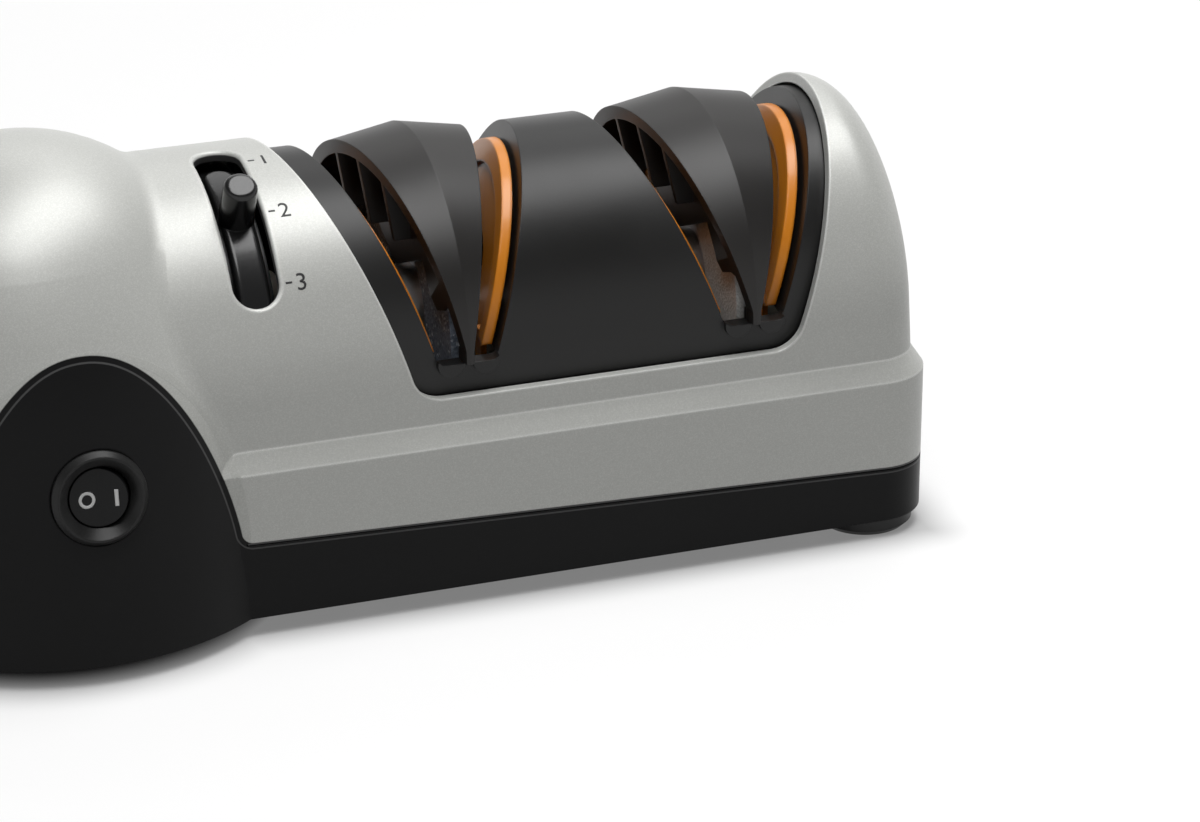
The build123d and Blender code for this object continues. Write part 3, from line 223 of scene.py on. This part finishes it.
def step(tree, value, start, stop):
    """0 below start, 1 above stop, smooth between; start may be the higher one."""
    node = tree.nodes.new("ShaderNodeMapRange")
    node.interpolation_type = "SMOOTHSTEP"
    node.inputs["From Min"].default_value = start
    node.inputs["From Max"].default_value = stop
    tree.links.new(value, node.inputs["Value"])
    return node.outputs["Result"]


def mixed(tree, kind, factor, first, second):
    """Mix of two values of one kind, RGBA or FLOAT; each is a socket or a plain value."""
    node = tree.nodes.new("ShaderNodeMix")
    node.data_type = kind
    tree.links.new(factor, node.inputs["Factor"])
    put(tree, node.inputs["A"], first)
    put(tree, node.inputs["B"], second)
    return node.outputs["Result"]


def blended(tree, factor, first, second):
    return mixed(tree, "RGBA", factor, first, second)


def lerp(tree, factor, first, second):
    return mixed(tree, "FLOAT", factor, first, second)


def round_normal(tree, radius):
    """Normal that turns round an edge within a radius in metres."""
    node = tree.nodes.new("ShaderNodeBevel")
    node.samples = 4
    node.inputs["Radius"].default_value = radius
    return node.outputs["Normal"]


def bump(tree, shader, heights, rounded=0.0):
    """Bumps, each with a height socket, a depth in metres and a strength, over edges rounded by a radius."""
    last = round_normal(tree, rounded) if rounded else None
    for height, depth, strength in heights:
        node = tree.nodes.new("ShaderNodeBump")
        node.inputs["Distance"].default_value = depth
        node.inputs["Strength"].default_value = strength
        tree.links.new(height, node.inputs["Height"])
        if last is not None:
            tree.links.new(last, node.inputs["Normal"])
        last = node.outputs["Normal"]
    tree.links.new(last, shader.inputs["Normal"])


def edges(tree, radius=0.0006, low=0.7, high=0.98):
    """1 on edges, 0 on open faces."""
    geometry = tree.nodes.new("ShaderNodeNewGeometry")
    dot = tree.nodes.new("ShaderNodeVectorMath")
    dot.operation = "DOT_PRODUCT"
    tree.links.new(round_normal(tree, radius), dot.inputs[0])
    tree.links.new(geometry.outputs["Normal"], dot.inputs[1])
    return step(tree, dot.outputs["Value"], high, low)


# ---------------------------------------------------------------- outlines on the body
def split_line(tree, x, z):
    """Distance in mm outside the half ellipse where shell and base part, roughly."""
    mean_radius = 45.0
    across = over(tree, minus(tree, x, DOME_X), SPLIT_HALF_WIDTH)
    up = over(tree, minus(tree, z, SPLIT_Z), SPLIT_RISE)
    return times(tree, minus(tree, hypot(tree, across, up), 1.0), mean_radius)


def panel_line(tree, x, z):
    """Distance in mm outside the arched outline of the black panel: its level over the level's slope."""
    lowest = 0.001
    across = over(tree, apart(tree, x, PANEL_X), PANEL_HALF_WIDTH)
    up = larger(tree, over(tree, minus(tree, z, PANEL_Z), PANEL_RISE), lowest)
    level = plus(tree, power(tree, across, PANEL_POWER_X), power(tree, up, PANEL_POWER_Z))
    slope_x = times(tree, power(tree, across, PANEL_POWER_X - 1), PANEL_POWER_X / PANEL_HALF_WIDTH)
    slope_z = times(tree, power(tree, up, PANEL_POWER_Z - 1), PANEL_POWER_Z / PANEL_RISE)
    return over(tree, minus(tree, level, 1.0), hypot(tree, slope_x, slope_z))


def paint_edge(tree):
    """Distance in mm inside the painted face: outside the panel and above the base, with a round corner."""
    far = 1000.0
    x, y, z = axes(tree)
    by_panel = math_node(tree, "MULTIPLY_ADD", step(tree, y, *FRONT_Y), far, panel_line(tree, x, z))
    # The paint stops a gap above the base: that dark strip is painted shade for the seam's groove.
    paint_low = math_node(tree, "MULTIPLY_ADD", x, BASE_TOP_SLOPE, BASE_TOP_Z + PAINTED_SHADE_GAP)
    by_base = minus(tree, z, paint_low)
    legs = [larger(tree, minus(tree, PAINT_CORNER, side), 0.0) for side in (by_panel, by_base)]
    return minus(tree, PAINT_CORNER, hypot(tree, *legs))


# ---------------------------------------------------------------- materials
def silver_colour(tree):
    """Fine flakes in a warm grey."""
    flakes_per_metre = 4500.0
    flakes = cells(tree, object_space(tree), flakes_per_metre, "Color")
    return ramp(tree, channel(tree, flakes, "Red"), [
        (0.0, (0.450, 0.455, 0.432)),
        (0.6, (0.482, 0.487, 0.464)),
        (1.0, (0.535, 0.540, 0.515)),
    ])


def silver_paint():
    """Satin metallic paint on black plastic, bare in the selector's slot; its edges turn pale as a painted
    highlight, and a bare dark strip along the joint with the base is painted shade.
    """
    mat, tree, shader = new_material("silver_paint")
    where = object_space(tree)
    x, y, z = axes(tree)
    grain = noise(tree, where, scale=2600.0, detail=2.0)
    broad = noise(tree, where, scale=14.0, detail=2.0)

    # Painted highlight: edges turn pale, except beside the split with the base on the front.
    off_split = step(tree, apart(tree, split_line(tree, x, z), 0.0), 1.2, 1.8)
    shown = larger(tree, off_split, step(tree, y, *FRONT_Y))
    painted_edge_highlight = times(tree, edges(tree, radius=0.0009, low=0.955, high=0.997), times(tree, shown, 0.8))
    paint = blended(tree, painted_edge_highlight, silver_colour(tree), (0.88, 0.885, 0.86))

    from_spindle = hypot(tree, y, minus(tree, z, SPINDLE_Z))
    under_skin = step(tree, from_spindle, BAR_RADIUS - 0.7, BAR_RADIUS - 1.0)
    by_slot = step(tree, apart(tree, x, SELECTOR_X), SLOT_REACH + 0.1, SLOT_REACH - 0.1)
    slot_wall = times(tree, under_skin, by_slot)
    # Near black at the joint is painted shade for the seam's groove; the slot's walls are bare dark grey
    # plastic.
    bare_and_seam_shade = larger(tree, slot_wall, step(tree, paint_edge(tree), PAINT_BLUR, -PAINT_BLUR))

    plastic = blended(tree, slot_wall, (0.008, 0.008, 0.008), (0.055, 0.055, 0.055))
    tree.links.new(blended(tree, bare_and_seam_shade, paint, plastic), shader.inputs["Base Color"])
    tree.links.new(lerp(tree, bare_and_seam_shade, 0.18, 0.0), shader.inputs["Metallic"])
    tree.links.new(lerp(tree, bare_and_seam_shade, spread(tree, broad, 0.40, 0.45), 0.5), shader.inputs["Roughness"])
    shader.inputs["Coat Weight"].default_value = 0.15
    shader.inputs["Coat Roughness"].default_value = 0.3
    bump(tree, shader, [(grain, 0.00003, 0.3)], rounded=0.0006)
    return mat


def moulded(name, dark, light, rough, grain_size=2200.0, grain_depth=0.00003,
            coat=0.0, gloss=0.3, rounded=0.0004, pale=1.8, joint=False):
    """Moulded plastic: fine spark-eroded grain, slow colour variation and paler edges, which are partly wear
    and partly a painted highlight.

    With joint, it has a painted highlight line beside the seam, for the panel's rounded edge, and the silver
    paint where that reaches over."""
    mat, tree, shader = new_material(name)
    where = object_space(tree)
    slow = noise(tree, where, scale=22.0, detail=3.0)
    fine = noise(tree, where, scale=grain_size, detail=3.0)
    colour = ramp(tree, slow, [(0.3, dark), (0.7, light)])
    # Paler edges: partly wear, partly a painted highlight.
    worn_edge_and_highlight = tuple(min(1.0, part * pale) for part in light)
    colour = blended(tree, times(tree, edges(tree), 0.4), colour, worn_edge_and_highlight)
    roughness = spread(tree, slow, rough - 0.03, rough + 0.04)
    if joint:
        inside = paint_edge(tree)
        # Painted highlight: a pale line inside the joint, for the panel's rounded edge.
        line = step(tree, apart(tree, inside, -PAINTED_HIGHLIGHT_INSET), 0.32, 0.1)
        colour = blended(tree, times(tree, line, 0.8), colour, (0.10, 0.10, 0.10))
        painted = step(tree, inside, -PAINT_BLUR, PAINT_BLUR)
        colour = blended(tree, painted, colour, silver_colour(tree))
        roughness = lerp(tree, painted, roughness, 0.42)
        tree.links.new(lerp(tree, painted, 0.0, 0.18), shader.inputs["Metallic"])
    tree.links.new(roughness, shader.inputs["Roughness"])
    tree.links.new(colour, shader.inputs["Base Color"])
    shader.inputs["Specular IOR Level"].default_value = gloss
    shader.inputs["Coat Weight"].default_value = coat
    shader.inputs["Coat Roughness"].default_value = 0.12
    bump(tree, shader, [(fine, grain_depth, 0.5)], rounded)
    return mat


def base_plastic(name, rounded):
    """The base's plastic, with the joint to the shell: its painted highlight line and the silver paint."""
    dark, light = (0.0050, 0.0050, 0.0052), (0.0075, 0.0075, 0.0077)
    return moulded(name, dark, light, 0.36, gloss=0.11, rounded=rounded, joint=True)


def abrasive(name, dark, middle, bright):
    """Bonded grit: angular grains of three tones in a matt binder."""
    grains_per_metre = 1500.0
    mat, tree, shader = new_material(name)
    where = object_space(tree)
    grit = channel(tree, cells(tree, where, grains_per_metre, "Color"), "Green")
    height = cells(tree, where, grains_per_metre)
    patches = noise(tree, where, scale=60.0)
    colour = ramp(tree, grit, [(0.0, dark), (0.55, middle), (0.9, middle), (1.0, bright)])
    tree.links.new(colour, shader.inputs["Base Color"])
    tree.links.new(spread(tree, patches, 0.62, 0.85), shader.inputs["Roughness"])
    bump(tree, shader, [(height, 0.00025, 0.8), (patches, 0.0004, 0.3)])
    return mat


def turned_metal(name, dark, light, rough):
    """Bare metal with fine tool marks round the spindle's axis and a slow stain."""
    mat, tree, shader = new_material(name)
    across_axis, round_axis = 4000.0, 60.0
    squeezed = object_space(tree, (across_axis, round_axis, round_axis))
    marks = noise(tree, squeezed, scale=1.0, detail=3.0)
    stain = noise(tree, object_space(tree), scale=45.0)
    tree.links.new(ramp(tree, stain, [(0.3, dark), (0.7, light)]), shader.inputs["Base Color"])
    shader.inputs["Metallic"].default_value = 1.0
    tree.links.new(spread(tree, marks, rough - 0.07, rough + 0.09), shader.inputs["Roughness"])
    bump(tree, shader, [(marks, 0.00003, 0.5)])
    return mat


def windings():
    """Enamelled copper wire laid side by side."""
    mat, tree, shader = new_material("winding_wire")
    wires = bands(tree, object_space(tree), "DIAGONAL", scale=420.0, distortion=1.2)
    # The dark bands between the wires are painted shade, and the palest ones a painted highlight on their
    # tops.
    colour = ramp(tree, wires, [
        (0.0, (0.18, 0.05, 0.018)),
        (0.6, (0.62, 0.22, 0.07)),
        (1.0, (0.80, 0.36, 0.14)),
    ])
    tree.links.new(colour, shader.inputs["Base Color"])
    shader.inputs["Metallic"].default_value = 0.8
    shader.inputs["Roughness"].default_value = 0.32
    shader.inputs["Coat Weight"].default_value = 0.4
    shader.inputs["Coat Roughness"].default_value = 0.1
    bump(tree, shader, [(wires, 0.0002, 0.7)])
    return mat


def laminated():
    """Stacked electrical steel: thin dark lines between sheets along the motor's axis."""
    mat, tree, shader = new_material("electrical_steel")
    where = object_space(tree)
    sheets = bands(tree, where, "X", scale=320.0, distortion=0.3)
    stain = noise(tree, where, scale=70.0)
    colour = ramp(tree, sheets, [
        (0.0, (0.06, 0.06, 0.065)),
        (0.35, (0.30, 0.30, 0.32)),
        (1.0, (0.42, 0.42, 0.44)),
    ])
    tree.links.new(colour, shader.inputs["Base Color"])
    shader.inputs["Metallic"].default_value = 0.9
    tree.links.new(spread(tree, stain, 0.35, 0.55), shader.inputs["Roughness"])
    bump(tree, shader, [(sheets, 0.0001, 0.5)])
    return mat


looks = {
    "silver": silver_paint(),
    "base": base_plastic("black_base_plastic", rounded=0.0007),
    "base_bridge": base_plastic("black_base_bridge", rounded=0.0),
    "cover": moulded("black_cover_plastic", (0.0080, 0.0078, 0.0076), (0.0105, 0.0102, 0.0100), rough=0.36),
    "hood": moulded("black_hood_plastic", (0.0095, 0.0085, 0.0080), (0.0135, 0.0120, 0.0112), rough=0.40,
                    gloss=0.35),
    "lever": moulded("black_lever_plastic", (0.0050, 0.0050, 0.0052), (0.0075, 0.0075, 0.0078), rough=0.24,
                     grain_size=900.0, grain_depth=0.00004, coat=0.25),
    "bezel": moulded("black_bezel_plastic", (0.011, 0.011, 0.011), (0.015, 0.015, 0.015), rough=0.36,
                     grain_size=1600.0, gloss=0.22),
    "rocker": moulded("black_rocker_plastic", (0.0060, 0.0060, 0.0062), (0.0085, 0.0085, 0.0088), rough=0.30,
                      grain_size=1600.0, grain_depth=0.00002, gloss=0.16),
    "orange": moulded("orange_plastic", (0.60, 0.190, 0.008), (0.68, 0.235, 0.012), rough=0.32,
                      grain_size=1500.0, grain_depth=0.00002, coat=0.15, gloss=0.4, rounded=0.0009, pale=1.1),
    "nylon": moulded("natural_nylon", (0.62, 0.60, 0.53), (0.70, 0.68, 0.61), rough=0.42,
                     grain_size=900.0, gloss=0.4, pale=1.1),
    "rubber": moulded("black_rubber", (0.0090, 0.0090, 0.0090), (0.0140, 0.0140, 0.0140), rough=0.34,
                      grain_size=700.0, grain_depth=0.00006),
    "coarse": abrasive("coarse_grit", (0.11, 0.13, 0.165), (0.20, 0.235, 0.29), (0.60, 0.64, 0.70)),
    "fine": abrasive("fine_grit", (0.66, 0.65, 0.62), (0.74, 0.73, 0.70), (0.84, 0.83, 0.80)),
    "steel": turned_metal("ground_steel", (0.42, 0.42, 0.43), (0.56, 0.56, 0.57), rough=0.28),
    "aluminium": turned_metal("cast_aluminium", (0.55, 0.55, 0.56), (0.68, 0.68, 0.69), rough=0.42),
    "bronze": turned_metal("sintered_bronze", (0.42, 0.27, 0.13), (0.55, 0.37, 0.20), rough=0.45),
    "wire": windings(),
    "stack": laminated(),
    "white_ink": moulded("white_print", (0.74, 0.74, 0.73), (0.80, 0.80, 0.79), rough=0.42,
                         grain_size=3000.0, grain_depth=0.00001, pale=1.0),
    "dark_ink": moulded("dark_print", (0.022, 0.022, 0.023), (0.030, 0.030, 0.031), rough=0.45,
                        grain_size=3000.0, grain_depth=0.00001, pale=1.0),
}

LOOK_BY_NAME = {
    "upper_housing": "silver",
    "base_housing": "base",
    "sharpening_cover": "cover",
    "wheel_hood_1": "hood",
    "wheel_hood_2": "hood",
    "selector_lever": "lever",
    "switch_housing": "bezel",
    "switch_rocker": "rocker",
    "switch_terminals": "bronze",
    "stator_core": "stack",
    "rotor_core": "stack",
    "stator_windings": "wire",
    "cooling_fan": "nylon",
    "left_guide_carriage": "nylon",
    "right_guide_carriage": "nylon",
    "coupling_spider": "rubber",
    "cord_bushing": "rubber",
    "motor_pads": "rubber",
}
LOOK_BY_PREFIX = (
    ("foot_", "rubber"),
    ("blade_guide_", "orange"),
    ("coarse_disc", "coarse"),
    ("fine_disc", "fine"),
    ("bearing_block_screws", "steel"),
    ("bearing_block", "nylon"),
    ("motor_bracket", "aluminium"),
    ("coupling_hub", "aluminium"),
    ("coarse_wheel_hub", "aluminium"),
    ("fine_wheel_hub", "aluminium"),
    ("spindle_bush", "bronze"),
)


def look_of(name):
    """Look of a CAD node; shafts, screws, clips and bearings are steel."""
    if name in LOOK_BY_NAME:
        return LOOK_BY_NAME[name]
    for prefix, look in LOOK_BY_PREFIX:
        if name.startswith(prefix):
            return look
    return "steel"


for name, obj in nodes.items():
    for slot in obj.material_slots:
        slot.material = looks[look_of(name)]


# ---------------------------------------------------------------- pieces laid on the solids
def link(obj):
    bpy.context.scene.collection.objects.link(obj)


def surface_of(node):
    """Tree of a CAD node's surface, to lay pieces on."""
    mesh = nodes[node].data
    return BVHTree.FromPolygons([v.co for v in mesh.vertices], [p.vertices for p in mesh.polygons])


def add_piece(name, built, look, body):
    """Turns a built form into a piece of the visual model."""
    bmesh.ops.recalc_face_normals(built, faces=built.faces)
    mesh = bpy.data.meshes.new(name)
    built.to_mesh(mesh)
    built.free()
    mesh.materials.append(looks[look])
    obj = bpy.data.objects.new(name, mesh)
    link(obj)
    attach(obj, body)


def front_of(skin, place):
    """y in mm of the surface that the front shows at a place."""
    start = Vector((place.x, RAY_START_Y, place.z)) * MM
    hit = skin.ray_cast(start, Vector((0, 1, 0)), -RAY_START_Y * MM)[0]
    if hit is None:
        raise ValueError("the paint bridge misses its surface")
    return hit.y / MM


def paint_bridge():
    """Thin ribbon of paint over the seam round the panel, so that shell and base read as one face."""
    skins = {node: surface_of(node) for node in ("base_housing", "upper_housing")}
    first_angle, last_angle = RIBBON_ANGLES
    built = bmesh.new()
    rows = []
    for i in range(RIBBON_STEPS + 1):
        angle = math.radians(first_angle + (last_angle - first_angle) * i / RIBBON_STEPS)
        right, up = math.cos(angle), math.sin(angle)
        middle = Vector((DOME_X + SPLIT_HALF_WIDTH * right, 0, SPLIT_Z + SPLIT_RISE * up))
        outwards = Vector((right / SPLIT_HALF_WIDTH, 0, up / SPLIT_RISE)).normalized()
        places = [middle + outwards * offset for _, offset, _ in RIBBON]
        depths = [0.0] * len(RIBBON)
        for j, (node, _, _) in enumerate(RIBBON):
            if node:
                depths[j] = front_of(skins[node], places[j])
        depths[2] = (depths[1] + depths[3]) / 2
        outer, inner = [], []
        for place, depth, (_, _, lift) in zip(places, depths, RIBBON):
            outer.append(built.verts.new(Vector((place.x, depth - lift, place.z)) * MM))
            inner.append(built.verts.new(Vector((place.x, depth + RIBBON_DEPTH, place.z)) * MM))
        rows.append(outer + inner[::-1])
    for first, second in zip(rows, rows[1:]):
        for j in range(len(first)):
            k = (j + 1) % len(first)
            built.faces.new((first[j], first[k], second[k], second[j]))
    built.faces.new(rows[0])
    built.faces.new(rows[-1])
    add_piece("paint_bridge", built, "base_bridge", "housing")


# ---------------------------------------------------------------- printed marks
def bar_mark(built, across, up, cuts=6):
    """A flat bar in mm between two values across and two up, cut into quads."""
    rows = []
    for u in across:
        rows.append([built.verts.new((u, up[0] + (up[1] - up[0]) * i / cuts, 0)) for i in range(cuts + 1)])
    for i in range(cuts):
        built.faces.new((rows[0][i], rows[0][i + 1], rows[1][i + 1], rows[1][i]))


def ring_mark(built, middle, outer_size, inner_size, segments=48):
    """A flat oval ring in mm."""
    loops = []
    for wide, high in (outer_size, inner_size):
        loop = []
        for i in range(segments):
            angle = math.tau * i / segments
            u, v = middle[0] + wide * math.cos(angle), middle[1] + high * math.sin(angle)
            loop.append(built.verts.new((u, v, 0)))
        loops.append(loop)
    for i in range(segments):
        j = (i + 1) % segments
        built.faces.new((loops[0][i], loops[0][j], loops[1][j], loops[1][i]))


def numeral_mark(built, text, height):
    """Plain numerals as flat faces in mm, round the origin."""
    digit_share = 0.7
    curve = bpy.data.curves.new("numeral", "FONT")
    curve.body = text
    curve.size = height / digit_share
    curve.align_x = "CENTER"
    curve.resolution_u = 4
    holder = bpy.data.objects.new("numeral", curve)
    mesh = bpy.data.meshes.new_from_object(holder)
    mesh.transform(Matrix.Translation((0, -height / 2, 0)))
    built.from_mesh(mesh)
    bpy.data.objects.remove(holder)
    bpy.data.curves.remove(curve)
    bpy.data.meshes.remove(mesh)


def long_edges(built):
    return [edge for edge in built.edges if edge.calc_length() > 1.0]


def lay(name, built, onto, to_ray, body, look):
    """Lays flat marks on a surface as a thin closed layer; to_ray gives each point's ray onto it."""
    reach = 0.05
    bmesh.ops.remove_doubles(built, verts=built.verts, dist=1e-4)
    if long_edges(built):
        bmesh.ops.triangulate(built, faces=built.faces)
        bmesh.ops.subdivide_edges(built, edges=long_edges(built), cuts=2)
        bmesh.ops.triangulate(built, faces=built.faces)
    bmesh.ops.recalc_face_normals(built, faces=built.faces)
    made = bmesh.ops.extrude_face_region(built, geom=built.faces[:], use_keep_orig=True)
    high = {part for part in made["geom"] if isinstance(part, bmesh.types.BMVert)}
    for vert in built.verts:
        start, way = to_ray(vert.co.x, vert.co.y)
        hit = onto.ray_cast(start * MM, way, reach)[0]
        if hit is None:
            raise ValueError("a mark misses its surface: " + name)
        vert.co = hit - way * (MARK_LIFT if vert in high else -MARK_SINK) * MM
    add_piece(name, built, look, body)


def on_bar(x, arc):
    """Ray onto the bar: x in mm along it, arc in mm from the crest down the front."""
    clearance = 5
    angle = arc / BAR_RADIUS
    out = Vector((0, -math.sin(angle), math.cos(angle)))
    return Vector((x, 0, SPINDLE_Z)) + out * (BAR_RADIUS + clearance), -out


def on_switch(u, v):
    """Ray onto the switch's face: u to the right and v up from its middle, in mm."""
    clearance = 8
    lean = math.radians(SWITCH_LEAN)
    out = Vector((0, -math.cos(lean), math.sin(lean)))
    up = Vector((0, math.sin(lean), math.cos(lean)))
    return SWITCH_MIDDLE + Vector((u, 0, 0)) + up * v + out * clearance, -out


def lay_on_bar(name, built, bar, x, arc):
    """Lays a dark mark with its middle at x and arc on the bar."""
    lay(name, built, bar, lambda u, v: on_bar(x + u, arc - v), "housing", "dark_ink")


def selector_marks():
    """A numeral and a tick for each of the knob's positions."""
    bar = surface_of("upper_housing")
    for count, angle in enumerate(POSITION_ANGLES, start=1):
        arc = math.radians(angle) * BAR_RADIUS
        built = bmesh.new()
        numeral_mark(built, str(count), NUMERAL_HEIGHT)
        lay_on_bar("position_numeral_" + str(count), built, bar, NUMERAL_X, arc)
        built = bmesh.new()
        bar_mark(built, (-TICK_HALF_LENGTH, TICK_HALF_LENGTH), (-TICK_HALF_WIDTH, TICK_HALF_WIDTH))
        lay_on_bar("position_tick_" + str(count), built, bar, TICK_X, arc)


def switch_marks():
    """O and I on the rocker."""
    rocker = surface_of("switch_rocker")
    built = bmesh.new()
    ring_mark(built, middle=(-2.95, -0.3), outer_size=(2.0, 2.05), inner_size=(1.25, 1.3))
    lay("switch_mark_off", built, rocker, on_switch, "switch_rocker", "white_ink")
    built = bmesh.new()
    bar_mark(built, across=(3.45, 4.35), up=(-2.3, 1.8))
    lay("switch_mark_on", built, rocker, on_switch, "switch_rocker", "white_ink")


paint_bridge()
selector_marks()
switch_marks()


# ---------------------------------------------------------------- camera, floor and light
def seen_ray(tree):
    """1 for rays that show the background: from the camera, a reflection or through glass."""
    path = tree.nodes.new("ShaderNodeLightPath")
    both = larger(tree, path.outputs["Is Camera Ray"], path.outputs["Is Glossy Ray"])
    return larger(tree, both, path.outputs["Is Transmission Ray"])


def aim(obj, way):
    obj.rotation_euler = way.to_track_quat("-Z", "Y").to_euler()


def camera():
    turn, tilt = math.radians(CAMERA_TURN), math.radians(CAMERA_TILT)
    data = bpy.data.cameras.new("photo_camera")
    data.sensor_width = SENSOR_WIDTH
    data.sensor_fit = "HORIZONTAL"
    data.lens = FOCAL_WIDTHS * SENSOR_WIDTH
    obj = bpy.data.objects.new("photo_camera", data)
    link(obj)
    obj.location = CAMERA_PLACE * MM
    level = math.cos(tilt)
    aim(obj, Vector((math.sin(turn) * level, math.cos(turn) * level, -math.sin(tilt))))
    bpy.context.scene.camera = obj


def clear_of_part(tree, x, y):
    """Distance in mm on the floor from the part's outline: a round dome and a straight bar."""
    dome_radius, bar_half_depth, bar_end = 60.0, 48.0, 139.0
    along = minus(tree, x, DOME_X)
    by_dome = minus(tree, hypot(tree, along, y), dome_radius)
    beside = larger(tree, minus(tree, apart(tree, y, 0.0), bar_half_depth), 0.0)
    past_ends = larger(tree, minus(tree, x, bar_end), times(tree, along, -1.0))
    by_bar = hypot(tree, beside, larger(tree, past_ends, 0.0))
    return math_node(tree, "MINIMUM", by_dome, by_bar)


def floor_material():
    """Grey for the light that it bounces, near white to the eye and in reflections; its glow fades out under
    and near the part as a painted shadow.
    """
    mat, tree, shader = new_material("pale_floor")
    slow = noise(tree, object_space(tree), scale=3.0, detail=2.0)
    grey = ramp(tree, slow, [(0.2, (0.35, 0.35, 0.35)), (0.8, (0.37, 0.37, 0.37))])
    tree.links.new(grey, shader.inputs["Base Color"])
    shader.inputs["Roughness"].default_value = 0.6
    shader.inputs["Specular IOR Level"].default_value = 0.1
    shade_start, shade_stop = -9.0, 14.0
    far_start, far_stop = 400.0, 1600.0
    near_glow, far_glow = 0.60, 0.97
    x, y, _ = axes(tree)
    # Painted shadow: the glow fades in from 9 mm inside the part's outline to 14 mm outside it.
    outside_painted_shadow = step(tree, clear_of_part(tree, x, y), shade_start, shade_stop)
    bright = lerp(tree, step(tree, hypot(tree, x, y), far_start, far_stop), near_glow, far_glow)
    glow = times(tree, seen_ray(tree), times(tree, outside_painted_shadow, bright))
    shader.inputs["Emission Color"].default_value = (1, 1, 1, 1)
    tree.links.new(glow, shader.inputs["Emission Strength"])
    return mat


def make_floor():
    half_width = 6.0
    mesh = bpy.data.meshes.new("floor")
    built = bmesh.new()
    bmesh.ops.create_grid(built, x_segments=1, y_segments=1, size=half_width)
    built.to_mesh(mesh)
    built.free()
    mesh.materials.append(floor_material())
    floor = bpy.data.objects.new("floor", mesh)
    link(floor)


def surroundings():
    """Dim light from all sides; what is seen of it is white at the horizon and darker overhead."""
    horizon, overhead = 0.22, 0.55
    seen_low, seen_high, light_given = 1.0, 0.2, 0.06
    world = bpy.data.worlds.new("studio")
    world.use_nodes = True
    bpy.context.scene.world = world
    tree = world.node_tree
    tree.nodes.clear()
    out = tree.nodes.new("ShaderNodeOutputWorld")
    shade = tree.nodes.new("ShaderNodeBackground")
    way = tree.nodes.new("ShaderNodeTexCoord")
    parts = tree.nodes.new("ShaderNodeSeparateXYZ")
    tree.links.new(way.outputs["Generated"], parts.inputs["Vector"])
    seen = lerp(tree, step(tree, parts.outputs["Z"], horizon, overhead), seen_low, seen_high)
    shade.inputs["Color"].default_value = (1, 1, 1, 1)
    tree.links.new(lerp(tree, seen_ray(tree), light_given, seen), shade.inputs["Strength"])
    tree.links.new(shade.outputs["Background"], out.inputs["Surface"])


def softbox(name, place, target, size, watts):
    """Rectangular lamp; places and size in metres."""
    light = bpy.data.lights.new(name, "AREA")
    light.shape = "RECTANGLE"
    light.size, light.size_y = size
    light.energy = watts
    obj = bpy.data.objects.new(name, light)
    link(obj)
    obj.location = place
    aim(obj, Vector(target) - Vector(place))


camera()
make_floor()
surroundings()
softbox("key_softbox", place=(0.14, -0.12, 1.3), target=(0.04, 0, 0.05), size=(1.5, 0.6), watts=21.0)
softbox("back_softbox", place=(0.4, 1.1, 1.2), target=(0, 0, 0.06), size=(1.4, 0.8), watts=5.0)
